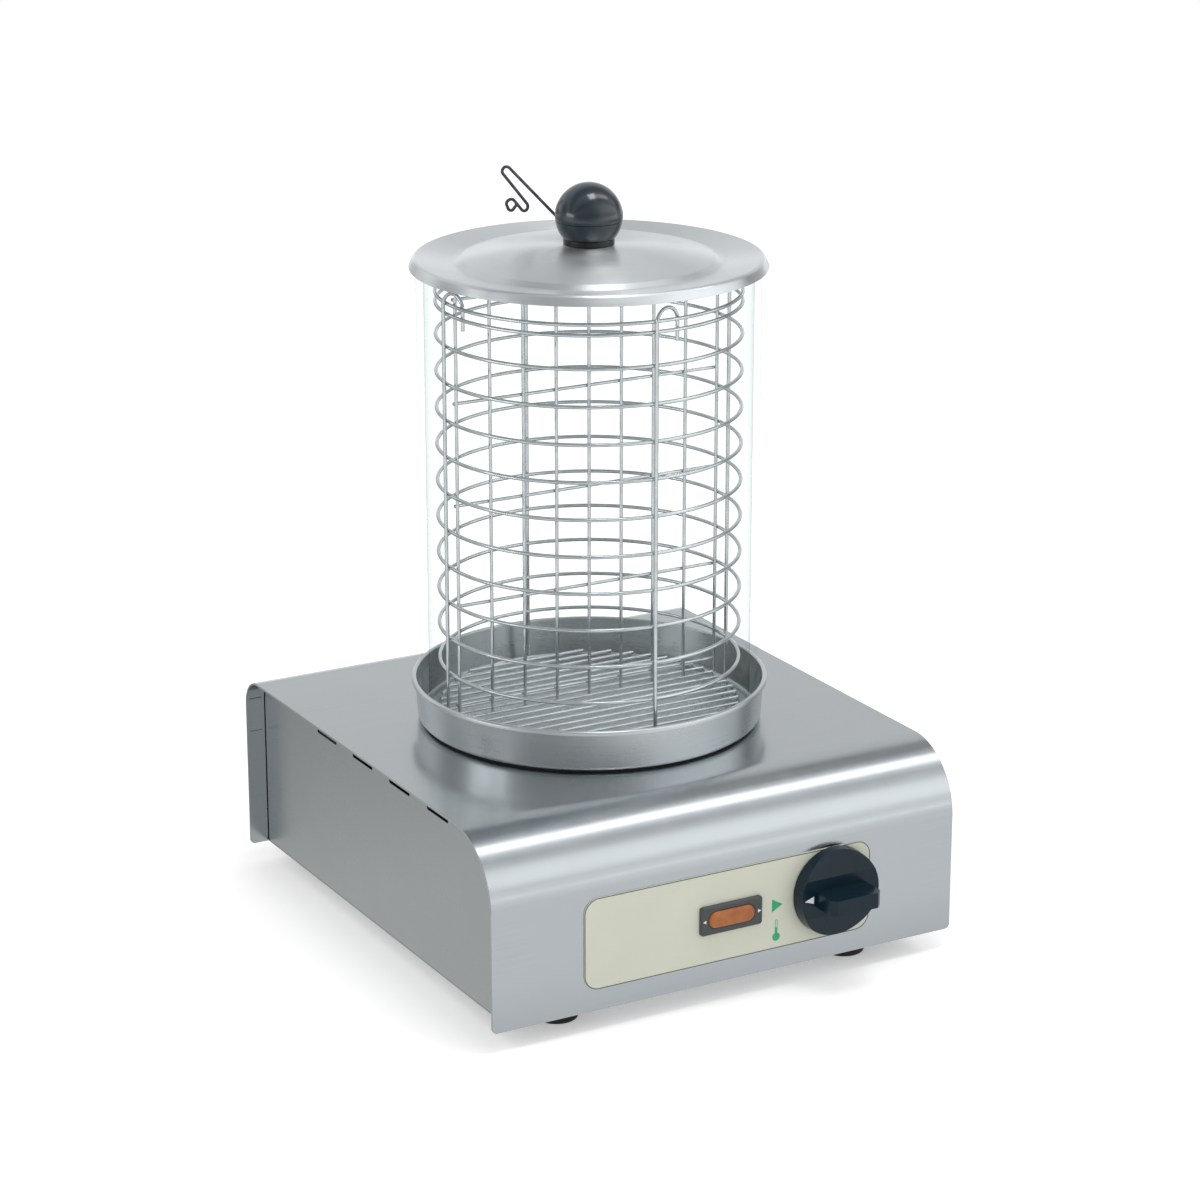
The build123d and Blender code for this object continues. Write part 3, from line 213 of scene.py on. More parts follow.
# Finishes -----------------------------------------------------------------------------------------
@dataclass(frozen=True)
class BrushedSteel:
    """Satin stainless steel with fine brushing and faint handling marks.

    A 240 grit belt leaves lines about 0.1 mm wide.  They would not show, so they are drawn line_mm wide.

    Attributes:
        name: the material's name.
        dark: sRGB colour of the brushing's valleys.
        light: sRGB colour of its crests.
        grain: the way the brushing runs.
        roughness: middle roughness.
        line_mm: width of a brushed line.
        relief: strength of the brushing's relief.
        anisotropy: how far a highlight is drawn out across the lines.
        depth_mm: height of the brushing's relief.
        streak_mm: length of a line.
        ring_streaks: how often a ring's tone changes on its way round.
        line_gloss: roughness that a line adds or takes away.
        cloud_mm: size of the slow changes of tone.
        cloud_share: how far they lighten the metal.
        smudge_mm: size of the handling marks.
        smudge_gloss: least and most roughness that a handling mark adds.
    """

    name: str
    dark: str
    light: str
    grain: Grain
    roughness: float
    line_mm: float
    relief: float
    anisotropy: float = 0.0
    depth_mm: float = 0.02
    streak_mm: float = 111.1
    ring_streaks: float = 1.6
    line_gloss: float = 0.03
    cloud_mm: float = 71.43
    cloud_share: float = 0.35
    smudge_mm: float = 18.18
    smudge_gloss: Point2 = (-0.025, 0.035)

    def lines(self, graph: Graph) -> bpy.types.Node:
        """Noise coordinates that are one unit a line across the brushing and drawn out along it.

        Args:
            graph: the material's graph.

        Returns:
            The node that gives them.
        """
        place = graph.add("ShaderNodeTexCoord").outputs["Object"]
        across, along = 1 / (self.line_mm * MM), 1 / (self.streak_mm * MM)
        if self.grain is not Grain.ROUND:
            scale = (along, across, across) if self.grain is Grain.ACROSS else (across, along, across)
            return graph.add("ShaderNodeMapping", {"Vector": place, "Scale": scale})
        # radius and height are added, so that the rings run on from a flat face down a wall
        flat, radius = from_axis(graph)
        height = graph.add("ShaderNodeSeparateXYZ", {0: place}).outputs["Z"]
        way = graph.add(VECTOR, {0: flat}, operation="NORMALIZE")
        x, y, _ = graph.add("ShaderNodeSeparateXYZ", {0: way}).outputs
        ring = graph.add(MATH, {0: radius, 1: height}, operation="ADD")
        spun = graph.add("ShaderNodeCombineXYZ", {0: ring, 1: x, 2: y})
        scale = (across, self.ring_streaks, self.ring_streaks)
        return graph.add(VECTOR, {0: spun, 1: scale}, operation="MULTIPLY")

    def shader(self, graph: Graph) -> bpy.types.Node:
        """Add the finish's shader to its graph.

        Args:
            graph: the material's graph.

        Returns:
            The shader node.
        """
        grain = {"Vector": self.lines(graph), "Scale": 1.0, "Detail": 3.0}
        streaks = graph.add("ShaderNodeTexNoise", grain)
        clouds, smudges = mottle(graph, self.cloud_mm, 3.0), mottle(graph, self.smudge_mm, 4.0)
        metal = two_tone(graph, streaks, linear(self.dark), linear(self.light))
        shiny, dull = self.roughness - self.line_gloss, self.roughness + self.line_gloss
        lined = graph.add(RANGE, {0: streaks, **NOISE_SPAN, 3: shiny, 4: dull})
        least, most = self.smudge_gloss
        smudged = graph.add(RANGE, {0: smudges, **NOISE_SPAN, 3: least, 4: most})
        relief = {"Height": streaks, "Distance": self.depth_mm * MM, "Strength": self.relief}
        inputs = {
            "Base Color": two_tone(graph, clouds, metal, linear(self.light), self.cloud_share),
            "Metallic": 1.0,
            "Roughness": graph.add(MATH, {0: lined, 1: smudged}, operation="ADD"),
            "Normal": graph.add("ShaderNodeBump", relief),
        }
        if self.anisotropy:
            # spun rings draw a highlight out into a fan from the middle, a quarter turn from the tangent
            tangent = graph.add("ShaderNodeTangent", direction_type="RADIAL", axis="Z")
            inputs |= {"Anisotropic": self.anisotropy, "Anisotropic Rotation": 0.25, "Tangent": tangent}
        return graph.add("ShaderNodeBsdfPrincipled", inputs)


@dataclass(frozen=True)
class Even:
    """A surface without brushing: one colour with faint patches and a fine relief.

    Attributes:
        name: the material's name.
        base: sRGB colour.
        shade: sRGB colour of its patches.
        roughness: roughness between the patches.
        dulling: roughness added in the patches.
        patch_mm: size of the patches.
        grain_mm: size of the relief's grains, drawn up to ten times coarser than real so that they show.
        relief: strength of the relief.
        coat: strength of a clear gloss over it.
        coat_roughness: roughness of the gloss.
        specular: how strongly the bare surface mirrors.
        glow: light that it gives off.
        metallic: 1 for metal.
        depth_mm: height of the relief.
        details: how many finer layers the patches and the grains have.
    """

    name: str
    base: str
    shade: str
    roughness: float
    dulling: float
    patch_mm: float
    grain_mm: float
    relief: float
    coat: float = 0.0
    coat_roughness: float = 0.2
    specular: float = 0.5
    glow: float = 0.0
    metallic: float = 0.0
    depth_mm: float = 0.03
    details: Point2 = (4.0, 3.0)

    def shader(self, graph: Graph) -> bpy.types.Node:
        """Add the finish's shader to its graph.

        Args:
            graph: the material's graph.

        Returns:
            The shader node.
        """
        sizes = (self.patch_mm, self.grain_mm)
        patches, grain = (mottle(graph, size, detail) for size, detail in zip(sizes, self.details))
        gloss = {0: patches, **NOISE_SPAN, 3: self.roughness, 4: self.roughness + self.dulling}
        relief = {"Height": grain, "Distance": self.depth_mm * MM, "Strength": self.relief}
        inputs = {
            "Base Color": two_tone(graph, patches, linear(self.base), linear(self.shade)),
            "Metallic": self.metallic,
            "Roughness": graph.add(RANGE, gloss) if self.dulling else self.roughness,
            "Specular IOR Level": self.specular,
            "Coat Weight": self.coat,
            "Coat Roughness": self.coat_roughness,
            "Emission Color": linear(self.base),
            "Emission Strength": self.glow,
            "Normal": graph.add("ShaderNodeBump", relief),
        }
        return graph.add("ShaderNodeBsdfPrincipled", inputs)


@dataclass(frozen=True)
class DrawnMetal(Even):
    """Plain or plated metal: wire, screws, turned and cast parts, with the faint marks of a die."""

    grain_mm: float = 0.5556
    relief: float = 0.08
    metallic: float = 1.0
    depth_mm: float = 0.02
    details: Point2 = (4.0, 2.0)


@dataclass(frozen=True)
class Moulded(Even):
    """Moulded plastic, rubber, ceramic, enamel or print: a fine skin over an even colour."""

    dulling: float = 0.1
    patch_mm: float = 22.22
    grain_mm: float = 0.4
    relief: float = 0.15


@dataclass(frozen=True)
class ClearGlass:
    """Clear borosilicate glass: see-through, glossy at a glance, faintly blue where it is seen edge on,
    with a painted shade line at its bore.

    Attributes:
        name: the material's name.
        face: sRGB tint seen square on.
        edge: sRGB tint seen edge on.
        bore: sRGB colour of the painted shade line where the bore is seen edge on.
        bore_radius: the bore's surface lies inside this radius.
        least: share of gloss seen square on.
        most: share of gloss added edge on.
        smear_mm: size of the wiped smears.
        smear_roughness: roughness of the smears.
        falls: how sharply the edge's tint, the bore's painted shade line and the gloss fall off from the
            very edge.
    """

    name: str
    face: str
    edge: str
    bore: str
    bore_radius: float = 96.0
    least: float = 0.015
    most: float = 0.20
    smear_mm: float = 33.33
    smear_roughness: float = 0.08
    falls: Point3 = (3.0, 34.0, 5.0)

    def shader(self, graph: Graph) -> bpy.types.Node:
        """Add the finish's shader to its graph.

        Args:
            graph: the material's graph.

        Returns:
            The shader node.
        """
        slant = graph.add("ShaderNodeLayerWeight", {"Blend": 0.5}).outputs["Facing"]
        _, radius = from_axis(graph)
        inside = graph.add(MATH, {0: radius, 1: self.bore_radius * MM}, operation="LESS_THAN")
        within = graph.add(MATH, {0: slant, 1: inside}, operation="MULTIPLY")
        tint: object = linear(self.face)
        # the edge's tint, then a painted shade line where the bore is seen edge on
        for power, hex_code in zip(self.falls, (self.edge, self.bore)):
            share = graph.add(MATH, {0: within, 1: power}, operation="POWER")
            mixed = graph.add("ShaderNodeMix", {0: share, 6: tint, 7: linear(hex_code)}, data_type="RGBA")
            tint = mixed.outputs[2]
        smears = {0: mottle(graph, self.smear_mm, 3.0), **NOISE_SPAN, 3: 0.0, 4: self.smear_roughness}
        clear = graph.add("ShaderNodeBsdfTransparent", {"Color": tint})
        gloss = graph.add("ShaderNodeBsdfGlossy", {"Roughness": graph.add(RANGE, smears)})
        grazing = graph.add(MATH, {0: slant, 1: self.falls[2]}, operation="POWER")
        sheen = graph.add(MATH, {0: grazing, 1: self.most, 2: self.least}, operation="MULTIPLY_ADD")
        return graph.add("ShaderNodeMixShader", {0: sheen, 1: clear, 2: gloss})


class Finish(Enum):
    """Every finish of the steamer."""

    # Cold-rolled stainless sheet, belt-brushed from side to side: highlights run in long soft bands.
    COVER = BrushedSteel("satin_stainless_cover", "B9BFC3", "BFC5C9", Grain.ACROSS, 0.20, 0.40, 0.03)
    # The same sheet brushed front to back and not polished: duller and even.
    PANEL = BrushedSteel("satin_stainless_panel", "B2B7B8", "B8BDBE", Grain.DEPTH, 0.30, 0.40, 0.03)
    # Mill-finished underside: greyer, with coarse rolling lines.
    PLATE = BrushedSteel("satin_stainless_plate", "9A9EA0", "A8ACAE", Grain.DEPTH, 0.40, 0.5, 0.12)
    # Spun stainless: the tool's rings fan the light out from the middle.
    TRAY = BrushedSteel("spun_stainless_tray", "CACFD1", "CFD3D5", Grain.ROUND, 0.29, 0.4, 0.003, 0.8)
    LID = BrushedSteel("spun_stainless_lid", "D8DDE0", "DEE3E6", Grain.ROUND, 0.33, 0.4, 0.005, 0.9)
    # Drawn steel wire, nickel plated: small sharp highlights along each wire.
    WIRE = DrawnMetal("bright_plated_wire", "D9DDDF", "C6CACD", 0.10, 0.06, 9.0)
    # Oil-tempered spring wire: a dark satin line.
    HOOK = DrawnMetal("dark_spring_wire", "63676A", "4B4E50", 0.35, 0.15, 4.0)
    # Zinc-plated screws, nuts and washers: pale, with cloudy patches.
    ZINC = DrawnMetal("zinc_plated_steel", "BCC0C3", "9A9C9A", 0.28, 0.18, 3.0)
    # Turned free-cutting steel: grey and clean.
    TURNED = DrawnMetal("turned_steel", "9B9EA0", "85888A", 0.30, 0.12, 3.0)
    # Sand-cast aluminium: matt and whitish.
    ALUMINIUM = DrawnMetal("cast_aluminium", "C6C9CB", "AAADB0", 0.42, 0.15, 8.0)
    # Alloy sheath of a heating element after use: brown and dull.
    SHEATH = DrawnMetal("heat_darkened_sheath", "6E665E", "4B4640", 0.45, 0.15, 7.0)
    # Drawn copper of the bulb and its tube: warm, with dark touches.
    COPPER = DrawnMetal("drawn_copper", "C58468", "9C5F45", 0.30, 0.15, 5.0)
    # Tinned brass blades: pale yellow, rubbed.
    BRASS = DrawnMetal("tinned_brass", "C5B07A", "A08B58", 0.32, 0.15, 3.0)
    # Baked satin enamel on the control plate: smooth, with a broad weak gloss.
    CREAM = Moulded(
        "satin_cream_enamel", "D5D8C7", "D2D5C4", 0.37,
        grain_mm=0.3, relief=0.04, coat=0.1, coat_roughness=0.3,
    )
    # The plate's bare edge and the painted shadow of the gap round it, seen as one thin dark line.
    OUTLINE = Moulded("dark_edge_line", "5A6058", "4C524B", 0.55)
    # Screen-printed inks: flat colour, hardly raised.
    GREEN = Moulded("green_print", "34AE7E", "2EA478", 0.50, grain_mm=0.3, relief=0.05)
    WHITE = Moulded("white_print", "EEF0EE", "E4E6E4", 0.50, grain_mm=0.3, relief=0.05)
    # Moulded ABS frame of the lamp: dark grey, slightly shiny.
    BEZEL = Moulded("dark_bezel_plastic", "45474A", "3D3F41", 0.37, grain_mm=0.35, relief=0.12, coat=0.1)
    # Moulded phenolic knob: blue-black with a satin skin.
    KNOB = Moulded(
        "blue_black_knob_plastic", "0A232F", "091F2A", 0.19, grain_mm=0.45, relief=0.06, specular=0.3
    )
    # Polished phenolic ball: the same colour, paler under a hard gloss.
    BALL = Moulded(
        "blue_black_ball_plastic", "192934", "16252F", 0.12,
        grain_mm=0.8, relief=0.03, coat=0.5, coat_roughness=0.07,
    )
    # Moulded nylon collar: black, with a weaker gloss than the ball.
    COLLAR = Moulded(
        "black_collar_plastic", "0E1215", "0B0E11", 0.23, grain_mm=0.5, relief=0.05, coat=0.2, specular=0.35
    )
    # Moulded nylon of the gland and the lamp's body: matt black.
    GLAND = Moulded("black_nylon", "1B1C1E", "141516", 0.45, grain_mm=0.5, relief=0.2)
    # Moulded rubber feet: dull, with a sandy skin.
    RUBBER = Moulded("black_foot_rubber", "232323", "1A1A1A", 0.75, grain_mm=0.7, relief=0.35)
    # Pressed phenolic of the cutout: dark brown.
    PHENOLIC = Moulded("brown_phenolic", "3B2A20", "2E211A", 0.45)
    # Undyed nylon of the thermostat and the terminals: milky.
    NYLON = Moulded("natural_nylon", "DAD9D2", "CFCEC6", 0.45)
    # Unglazed steatite beads: chalky white.
    CERAMIC = Moulded("unglazed_ceramic", "E6E1D6", "D8D2C6", 0.70, grain_mm=0.5, relief=0.25)
    # Moulded polycarbonate lens: an amber that glows a little, with small prisms in its back.
    LENS = Moulded(
        "amber_lens_plastic", "AC662D", "995624", 0.32, 0.0, 6.25, 1.111, 0.25, 0.15, 0.08,
        glow=0.05, depth_mm=0.05, details=(2.0, 2.0),
    )
    # Borosilicate tube: nearly invisible face on, with a fine pale line of painted shade at its bore.
    GLASS = ClearGlass("clear_borosilicate_glass", "FEFFFF", "F8FCFC", "93A4A9")


class Paints:
    """Makes each finish's material once and hands it out."""

    def __init__(self) -> None:
        """Start with no material made."""
        self.made: dict[Finish, bpy.types.Material] = {}

    def get(self, finish: Finish) -> bpy.types.Material:
        """Find the material of a finish, and make it the first time.

        Args:
            finish: the finish.

        Returns:
            Its material.
        """
        if finish not in self.made:
            self.made[finish] = material(finish.value.name, finish.value.shader)
        return self.made[finish]

    def dress(self, piece: bpy.types.Object, finish: Finish) -> None:
        """Give every face of a piece one finish."""
        piece.data.materials.clear()
        piece.data.materials.append(self.get(finish))


# Shapes -------------------------------------------------------------------------------------------
def rounded(points: Sequence[Sequence[float]], radii: Sequence[float], steps: int = 8) -> list[Vector]:
    """Round the inner corners of an open path.

    Args:
        points: the path's corners, in two or three dimensions.
        radii: a radius for each corner but the two ends.
        steps: segments in each rounding.

    Returns:
        The path's points.
    """
    path = [Vector((*p, 0.0)[:3]) for p in points]
    result = [path[0]]
    for before, corner, after, radius in zip(path, path[1:], path[2:], radii):
        back, ahead = (before - corner).normalized(), (after - corner).normalized()
        half = back.angle(ahead) / 2
        centre = corner + (back + ahead).normalized() * (radius / math.sin(half))
        start = corner + back * (radius / math.tan(half)) - centre
        end = corner + ahead * (radius / math.tan(half)) - centre
        sweep = math.pi - 2 * half
        for i in range(steps + 1):
            share = i / steps
            turn = (start * math.sin((1 - share) * sweep) + end * math.sin(share * sweep)) / math.sin(sweep)
            result.append(centre + turn)
    return [*result, path[-1]]


def sheet_outline(path: Sequence[Vector], thickness: float) -> list[Point2]:
    """Give a bent sheet's middle line its thickness.

    Args:
        path: the middle line's points, in the XY plane.
        thickness: the sheet's thickness.

    Returns:
        The sheet's closed outline.
    """
    left: list[Point2] = []
    right: list[Point2] = []
    for i, point in enumerate(path):
        before, after = path[max(i - 1, 0)], path[min(i + 1, len(path) - 1)]
        first = (point - before).normalized() if i else (after - point).normalized()
        second = (after - point).normalized() if i < len(path) - 1 else first
        side = first + second
        normal = Vector((-side.y, side.x, 0)).normalized()
        reach = thickness / 2 / max(normal.dot(Vector((-first.y, first.x, 0))), 0.5)
        left.append((point + normal * reach)[:2])
        right.append((point - normal * reach)[:2])
    return left + right[::-1]


def arc(centre: Point2, radius: float, start: float, end: float, steps: int) -> list[Point2]:
    """Points on an arc.

    Args:
        centre: its centre.
        radius: its radius.
        start: angle of the first point in degrees.
        end: angle of the last one.
        steps: segments between them.

    Returns:
        The points.
    """
    angles = (math.radians(start + (end - start) * i / steps) for i in range(steps + 1))
    return [(centre[0] + radius * math.cos(a), centre[1] + radius * math.sin(a)) for a in angles]


def rectangle(
    width: float, height: float, corner: float, steps: int = 6, middle: Point2 = (0.0, 0.0)
) -> list[Point2]:
    """A rounded rectangle.

    Args:
        width: its size along the first axis.
        height: its size along the second.
        corner: radius of its corners.
        steps: segments in each corner.
        middle: its middle.

    Returns:
        Its outline, anticlockwise.
    """
    across, up = width / 2 - corner, height / 2 - corner
    points: list[Point2] = []
    for i, (x, y) in enumerate(((across, -up), (across, up), (-across, up), (-across, -up))):
        points += arc((x + middle[0], y + middle[1]), corner, 90 * i - 90, 90 * i, steps)
    return points


def new_object(name: str, data: bpy.types.ID) -> bpy.types.Object:
    """Put a new object with this data in the scene.

    Args:
        name: the object's name.
        data: its mesh, curve, light or camera.

    Returns:
        The object.
    """
    made = bpy.data.objects.new(name, data)
    bpy.context.scene.collection.objects.link(made)
    return made


def finish_mesh(name: str, mesh: bmesh.types.BMesh, sharp: float = SMOOTH_TO) -> bpy.types.Object:
    """Turn a working mesh in millimetres into a smooth object in metres.

    Args:
        name: the object's name.
        mesh: the working mesh, which is used up.
        sharp: edges that bend by more than this many degrees stay sharp.

    Returns:
        The new object, at the origin.
    """
    bmesh.ops.remove_doubles(mesh, verts=mesh.verts, dist=MERGE)
    bmesh.ops.recalc_face_normals(mesh, faces=mesh.faces)
    bmesh.ops.scale(mesh, vec=(MM, MM, MM), verts=mesh.verts)
    data = bpy.data.meshes.new(name)
    mesh.to_mesh(data)
    mesh.free()
    data.shade_smooth()
    data.set_sharp_from_angle(angle=math.radians(sharp))
    return new_object(name, data)


def skin(mesh: bmesh.types.BMesh, rows: Sequence[Sequence[bmesh.types.BMVert]], closed: bool) -> None:
    """Join rings of corners, each to the next, by bands of faces.

    Args:
        mesh: the working mesh.
        rows: the rings, with as many corners each; one corner repeated all round is a pole.
        closed: True joins the last ring to the first as well.
    """
    for low, high in zip(rows, [*rows[1:], *rows[:1]] if closed else rows[1:]):
        for i, corner in enumerate(low):
            after = (i + 1) % len(low)
            face = list(dict.fromkeys((corner, low[after], high[after], high[i])))
            if len(face) > 2:
                mesh.faces.new(face)


def revolve(name: str, outline: Sequence[Point2], closed: bool, segments: int) -> bpy.types.Object:
    """Turn an outline of (radius, height) corners round Z.

    Args:
        name: the object's name.
        outline: the corners in order.
        closed: True joins the last corner to the first; False leaves both ends on the axis.
        segments: steps round the circle.

    Returns:
        The turned object.
    """
    mesh = bmesh.new()
    angles = [2 * math.pi * k / segments for k in range(segments)]
    turns = [(math.cos(angle), math.sin(angle)) for angle in angles]
    rows = [
        [mesh.verts.new((radius * c, radius * s, height)) for c, s in turns]
        if radius > POLE
        else [mesh.verts.new((0, 0, height))] * segments
        for radius, height in outline
    ]
    skin(mesh, rows, closed)
    return finish_mesh(name, mesh)


def stack(
    name: str,
    levels: Sequence[tuple[Sequence[Point2], float]],
    place: Placer,
    hollow: bool = False,
    edge: float = 0.0,
    sharp: float = SMOOTH_TO,
) -> bpy.types.Object:
    """Skin a stack of outlines that have as many corners each.

    Args:
        name: the object's name.
        levels: each outline and its height.
        place: turns (u, v, height) into a point.
        hollow: True joins the last outline to the first; False caps the two ends.
        edge: size of the rounding round the caps.
        sharp: edges that bend by more than this many degrees stay sharp.

    Returns:
        The new object.
    """
    mesh = bmesh.new()
    rows = [[mesh.verts.new(place(u, v, height)) for u, v in outline] for outline, height in levels]
    caps = [] if hollow else [mesh.faces.new(rows[0]), mesh.faces.new(rows[-1])]
    skin(mesh, rows, hollow)
    if edge:
        rims = [rim for cap in caps for rim in cap.edges]
        bmesh.ops.bevel(mesh, geom=rims, offset=edge, segments=2, profile=0.5, affect="EDGES")
    return finish_mesh(name, mesh, sharp)


def prism(name: str, outline: Sequence[Point2], place: Placer, depth: float) -> bpy.types.Object:
    """Raise a flat outline into a plate.

    Args:
        name: the object's name.
        outline: the plate's corners.
        place: turns (u, v, height) into a point.
        depth: the plate's thickness.

    Returns:
        The plate.
    """
    return stack(name, [(outline, 0.0), (outline, depth)], place)


def on_front(y: float) -> Placer:
    """Place (x, z, height) on the front, y millimetres in front of the middle and growing forwards."""
    return lambda u, v, height: (u, -y - height, v)


def bake(piece: bpy.types.Object) -> None:
    """Replace a piece's mesh by what its modifiers make of it, and remove the modifiers.

    Args:
        piece: the piece; its modifiers go.
    """
    bpy.context.view_layer.update()
    evaluated = piece.evaluated_get(bpy.context.evaluated_depsgraph_get())
    made = bpy.data.meshes.new_from_object(evaluated)
    made.name = piece.name
    piece.modifiers.clear()
    piece.data = made


def cut(piece: bpy.types.Object, tools: Iterable[bpy.types.Object]) -> bpy.types.Object:
    """Cut tools out of a piece.

    Args:
        piece: the piece.
        tools: solids to cut out, which are used up.

    Returns:
        The piece.
    """
    for tool in tools:
        modifier = piece.modifiers.new("cut", "BOOLEAN")
        modifier.operation, modifier.solver, modifier.object = "DIFFERENCE", "EXACT", tool
        bake(piece)
        bpy.data.objects.remove(tool)
    piece.data.set_sharp_from_angle(angle=math.radians(SMOOTH_TO))
    return piece


def join(name: str, pieces: Sequence[bpy.types.Object]) -> bpy.types.Object:
    """Make one object of several that wear the same finish.

    Args:
        name: the new object's name.
        pieces: the objects, which are used up.

    Returns:
        The new object.
    """
    mesh = bmesh.new()
    data = bpy.data.meshes.new(name)
    for material in pieces[0].data.materials:
        data.materials.append(material)
    for piece in pieces:
        mesh.from_mesh(piece.data)
        bpy.data.objects.remove(piece)
    mesh.to_mesh(data)
    mesh.free()
    return new_object(name, data)


# Geometry Nodes for what repeats ------------------------------------------------------------------
class Repeat:
    """One geometry tree with named inputs, run on an object and turned into a plain mesh."""

    ROW: ClassVar[dict[str, str]] = {"Count": "Int", "First": "Vector", "Step": "Vector", "Wire": "Float"}

    def __init__(self, name: str, sockets: dict[str, str]) -> None:
        """Make the tree and its named inputs.

        Args:
            name: the tree's name.
            sockets: each input's name and its kind, such as "Float".
        """
        self.tree = bpy.data.node_groups.new(name, "GeometryNodeTree")
        self.graph = Graph(self.tree)
        face = self.tree.interface
        face.new_socket("Geometry", in_out="INPUT", socket_type="NodeSocketGeometry")
        face.new_socket("Geometry", in_out="OUTPUT", socket_type="NodeSocketGeometry")
        self.keys = {
            label: face.new_socket(label, in_out="INPUT", socket_type=f"NodeSocket{kind}").identifier
            for label, kind in {**sockets, "Finish": "Material"}.items()
        }
        self.inputs = self.graph.add("NodeGroupInput").outputs

    def close(self, points: bpy.types.Node, item: object, **extra: object) -> None:
        """Put an item on points, realise it and end the tree.

        Args:
            points: the node that gives the points.
            item: the node or socket that gives the item.
            extra: other inputs of the instancing, such as its scale.
        """
        copies = {"Points": points, "Instance": item, **extra}
        placed = self.graph.add("GeometryNodeInstanceOnPoints", copies)
        real = self.graph.add("GeometryNodeRealizeInstances", {0: placed})
        smooth = self.graph.add("GeometryNodeSetShadeSmooth", {0: real})
        dressed = self.graph.add("GeometryNodeSetMaterial", {0: smooth, 2: self.inputs["Finish"]})
        self.graph.add("NodeGroupOutput", {0: dressed})

    def wire_row(self, path: bpy.types.Node, sides: int = 12, **extra: object) -> None:
        """Give a path a round section, repeat it in a row and end the tree.

        Args:
            path: the node that gives the wire's middle line.
            sides: sides of the section.
            extra: other inputs of the instancing, such as its scale.
        """
        count, first, step, radius = (self.inputs[label] for label in self.ROW)
        circle = {"Resolution": sides, "Radius": radius}
        section = self.graph.add("GeometryNodeCurvePrimitiveCircle", circle, mode="RADIUS")
        wire = self.graph.add("GeometryNodeCurveToMesh", {0: path, 1: section, "Fill Caps": True})
        line = {"Count": count, "Start Location": first, "Offset": step}
        self.close(self.graph.add("GeometryNodeMeshLine", line, mode="OFFSET"), wire, **extra)

    def run(
        self, name: str, lengths: Inputs, others: Inputs, base: bpy.types.Object | None = None
    ) -> bpy.types.Object:
        """Run the tree.

        Args:
            name: the new piece's name.
            lengths: the inputs that are lengths or places, in millimetres.
            others: the inputs that are not.
            base: the object that the tree starts from, which becomes the piece.

        Returns:
            The piece, as a plain mesh.
        """
        if base is None:
            base = new_object(name, bpy.data.meshes.new(name))
        base.name = name
        modifier = base.modifiers.new("repeat", "NODES")
        modifier.node_group = self.tree
        for label, value in lengths.items():
            metres = tuple(v * MM for v in value) if isinstance(value, tuple) else value * MM
            modifier[self.keys[label]] = metres
        for label, value in others.items():
            modifier[self.keys[label]] = value
        bake(base)
        base.data.set_sharp_from_angle(angle=math.radians(WIRE_SMOOTH_TO))
        return base


def ring_tree() -> Repeat:
    """Round wires stacked up Z.

    Returns:
        The closed tree.
    """
    tree = Repeat("stacked_rings", {**Repeat.ROW, "Ring": "Float"})
    circle = {"Resolution": RING_STEPS, "Radius": tree.inputs["Ring"]}
    tree.wire_row(tree.graph.add("GeometryNodeCurvePrimitiveCircle", circle, mode="RADIUS"))
    return tree


def straight_tree() -> Repeat:
    """Straight wires in a row, all alike.

    Returns:
        The closed tree.
    """
    tree = Repeat("straight_wires", {**Repeat.ROW, "Run": "Vector"})
    tree.wire_row(tree.graph.add("GeometryNodeCurvePrimitiveLine", {1: tree.inputs["Run"]}, mode="POINTS"))
    return tree


def chord_tree() -> Repeat:
    """Straight wires along X, each as long as the ring is wide there.

    Returns:
        The closed tree.
    """
    tree = Repeat("chord_wires", {**Repeat.ROW, "Ring": "Float"})
    graph, ring = tree.graph, tree.inputs["Ring"]
    line = graph.add("GeometryNodeCurvePrimitiveLine", {0: (-1.0, 0, 0), 1: (1.0, 0, 0)}, mode="POINTS")
    aside = graph.add("ShaderNodeSeparateXYZ", {0: graph.add("GeometryNodeInputPosition")}).outputs["Y"]
    whole, lost = (graph.add(MATH, {0: side, 1: side}, operation="MULTIPLY") for side in (ring, aside))
    left = graph.add(MATH, {0: whole, 1: lost}, operation="SUBTRACT")
    reach = graph.add(MATH, {0: left}, operation="SQRT")
    tree.wire_row(line, Scale=graph.add("ShaderNodeCombineXYZ", {0: reach, 1: 1.0, 2: 1.0}))
    return tree


def bent_tree() -> Repeat:
    """A bent wire along the base object's path, repeated round Z.

    Returns:
        The closed tree.
    """
    tree = Repeat("bent_wires", {**Repeat.ROW, "Turn": "Float"})
    graph = tree.graph
    path = graph.add("GeometryNodeMeshToCurve", {0: tree.inputs["Geometry"]})
    index = graph.add("GeometryNodeInputIndex")
    turn = graph.add(MATH, {0: index, 1: tree.inputs["Turn"]}, operation="MULTIPLY")
    tree.wire_row(path, Rotation=graph.add("ShaderNodeCombineXYZ", {2: turn}))
    return tree


def grid_tree() -> Repeat:
    """Copies of the base object at the points of a flat grid about Z.

    Returns:
        The closed tree.
    """
    sockets = {"Width": "Float", "Depth": "Float", "Columns": "Int", "Rows": "Int"}
    tree = Repeat("grid_copies", sockets)
    sizes = {i: tree.inputs[label] for i, label in enumerate(sockets)}
    tree.close(tree.graph.add("GeometryNodeMeshGrid", sizes), tree.inputs["Geometry"])
    return tree


def path_object(name: str, points: Sequence[Vector]) -> bpy.types.Object:
    """Make an object whose mesh is one open line.

    Args:
        name: the object's name.
        points: the line's points in millimetres.

    Returns:
        The object.
    """
    data = bpy.data.meshes.new(name)
    data.from_pydata([p * MM for p in points], [(i, i + 1) for i in range(len(points) - 1)], [])
    return new_object(name, data)


